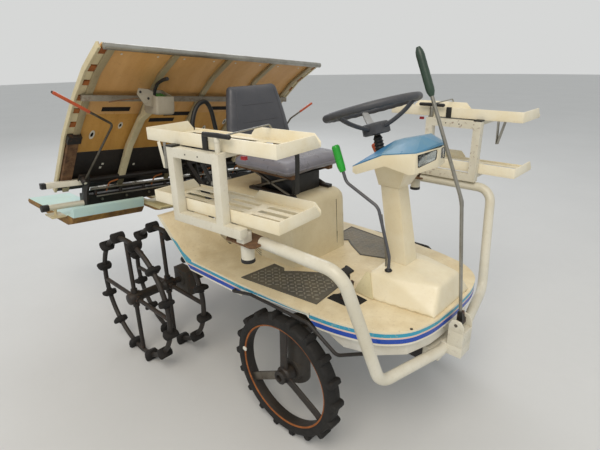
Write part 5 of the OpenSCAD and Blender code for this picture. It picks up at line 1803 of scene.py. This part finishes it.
# %% Small planting gear
gear_bm = bmesh.new()
for i in range(9):
    y = -560 + 140 * i
    sweep(gear_bm, [leaned(-352, y, 778), leaned(-352, y, 806)], 9, 12, 0)
    sweep(gear_bm, [leaned(-369, y + 40, 745), leaned(-361, y + 40, 745)], 8, 6, 1)
for y in (-500, -230, 120, 380):
    sweep(gear_bm, rounded_path([leaned(-350, y, 790), leaned(-330, y + 10, 840),
                                 leaned(-330, y + 60, 850)], 20), 4, 10, 2)
sweep(gear_bm, [leaned(-338, -590, 812), leaned(-338, 590, 812)], 6, 14, 1)
sweep(gear_bm, [leaned(-340, -560, 770), leaned(-340, -120, 774)], 4.5, 12, 1)
piece("planting_gear_details", gear_bm, [black_enamel, zinc_steel, orange_rust], "planting_unit",
      slot="black_steel")
print("unit pieces made, so far:", len(made))

# %% [markdown]
# ## Control box and row markers
# The grey box is open above, with a green inside, a curved black hook of a lever and a lug at its side whose
# two holes are black discs of painted shade. A row marker is a thin dark rod, folded up, with an orange grip
# at its end.

# %% Control box
def box_ring(inset, z):
    """The box's outline at a height, drawn in by inset; its top slopes down forward."""
    out = []
    for x, y, sx, sy in ((12, -450, 1, 1), (130, -450, -1, 1), (130, -354, -1, -1), (12, -354, 1, -1)):
        x, y = x + sx * inset, y + sy * inset
        drop = 26 * (x - 12) / 118 * (z > 1290)
        pair = [leaned(x, y + sy * 7, z - drop), leaned(x + sx * 7, y, z - drop)]
        out += pair if sx == sy else pair[::-1]
    return out


box_bm = bmesh.new()
loft(box_bm, [box_ring(8, 1228), box_ring(2, 1234), box_ring(0, 1250), box_ring(0, 1333),
              box_ring(1.5, 1336), box_ring(5, 1335), box_ring(6, 1318)], 0)
loft(box_bm, [box_ring(6.3, 1318.5), box_ring(9, 1322)], 1)
hook = curved([leaned(84, -432, 1308), leaned(88, -432, 1332), leaned(104, -432, 1356),
               leaned(121, -432, 1368), leaned(160, -432, 1382), leaned(200, -432, 1389)], 6)
sweep(box_bm, hook, [7] * 8 + [7 + 0.05 * i for i in range(len(hook) - 8)], 16, 2)
lug = [(-528, 1318), (-520, 1344), (-470, 1340), (-449, 1326), (-449, 1262), (-492, 1270)]
plate(box_bm, [leaned(98, y, z) for y, z in lug], [leaned(102, y, z) for y, z in lug], 0)
# The lug's two holes are black discs: painted shade.
for y, z in ((-512, 1328), (-474, 1300)):
    sweep(box_bm, [leaned(101.5, y, z), leaned(103.5, y, z)], 6, 14, 2)
sweep(box_bm, [leaned(96, -520, 1300), leaned(80, -600, 1290), leaned(60, -640, 1282)], 3, 10, 3)
piece("control_box_dressed", box_bm, [control_abs, green_pvc, black_pp, rust_steel], body_of["control_box"],
      ("control_box",), 0.8, 2)
print("hook is", len(hook), "points long")

# %% [markdown]
# The markers fold up against the frame's ends, leaning inward. Each is a round rod with one bend.

# %% Row markers
def marker_point(side, x, y, z):
    """A point of a folded marker, from its pin: z up along the arm."""
    t = math.radians(36.87)
    return leaned(-300 + x * math.cos(t) + z * math.sin(t), side * (632 - y),
                  868 - x * math.sin(t) + z * math.cos(t))


for side_name, side in SIDES.items():
    marker_bm = bmesh.new()
    elbow, tip = ((65, 380), (-229, 565)) if side == RIGHT else ((-16, 380), (-135, 508))
    foot, bend_at, end = (marker_point(side, 0, 2.5, 12), marker_point(side, 0, *elbow),
                          marker_point(side, 0, *tip))
    sweep(marker_bm, rounded_path([foot, bend_at, end], 30), 5.6, 14, 0)
    sweep(marker_bm, [bend_at.lerp(end, t) for t in (0.42, 0.44, 0.6, 0.8, 0.98, 1)],
          [6.2, 7.4, 7, 7.4, 7.4, 5], 16, 1)
    pin = [marker_point(side, x, 0, 0) for x in (-20.3, 15.3)]
    sweep(marker_bm, pin, 17, 24, 2)
    piece("marker_" + side_name, marker_bm, [dull_steel, orange_pvc, black_enamel], "marker_" + side_name,
          ("marker_arm_" + side_name,), 0.8, 2, sharp=50)
print("pieces so far:", len(made))

# %% [markdown]
# ## Hose behind the seat
# A black hose arches up behind the seat. It is clipped to the body at both ends, so it is no free cord, and
# it is a round section swept along a curve through a few points.

# %% Seat hose
hose_bm = bmesh.new()
arch = curved([at(215, -90, 905), at(178, -92, 1010), at(152, -104, 1180), at(150, -120, 1262),
               at(150, -150, 1304), at(150, -196, 1290), at(150, -228, 1236), at(154, -238, 1170),
               at(180, -220, 1010), at(215, -190, 905)], 6)
sweep(hose_bm, arch, 11, 16, 0)
for p in (arch[0], arch[-1]):
    sweep(hose_bm, [p - Vector((0, 0, 4 * MM)), p + Vector((-4 * MM, 0, 16 * MM))], 14, 16, 1)
piece("seat_hose", hose_bm, [hose_rubber, zinc_steel], "chassis", slot="black_plastic", smooth=60)
print("hose reaches", round(max(in_mm(p).z for p in arch)), "mm up")
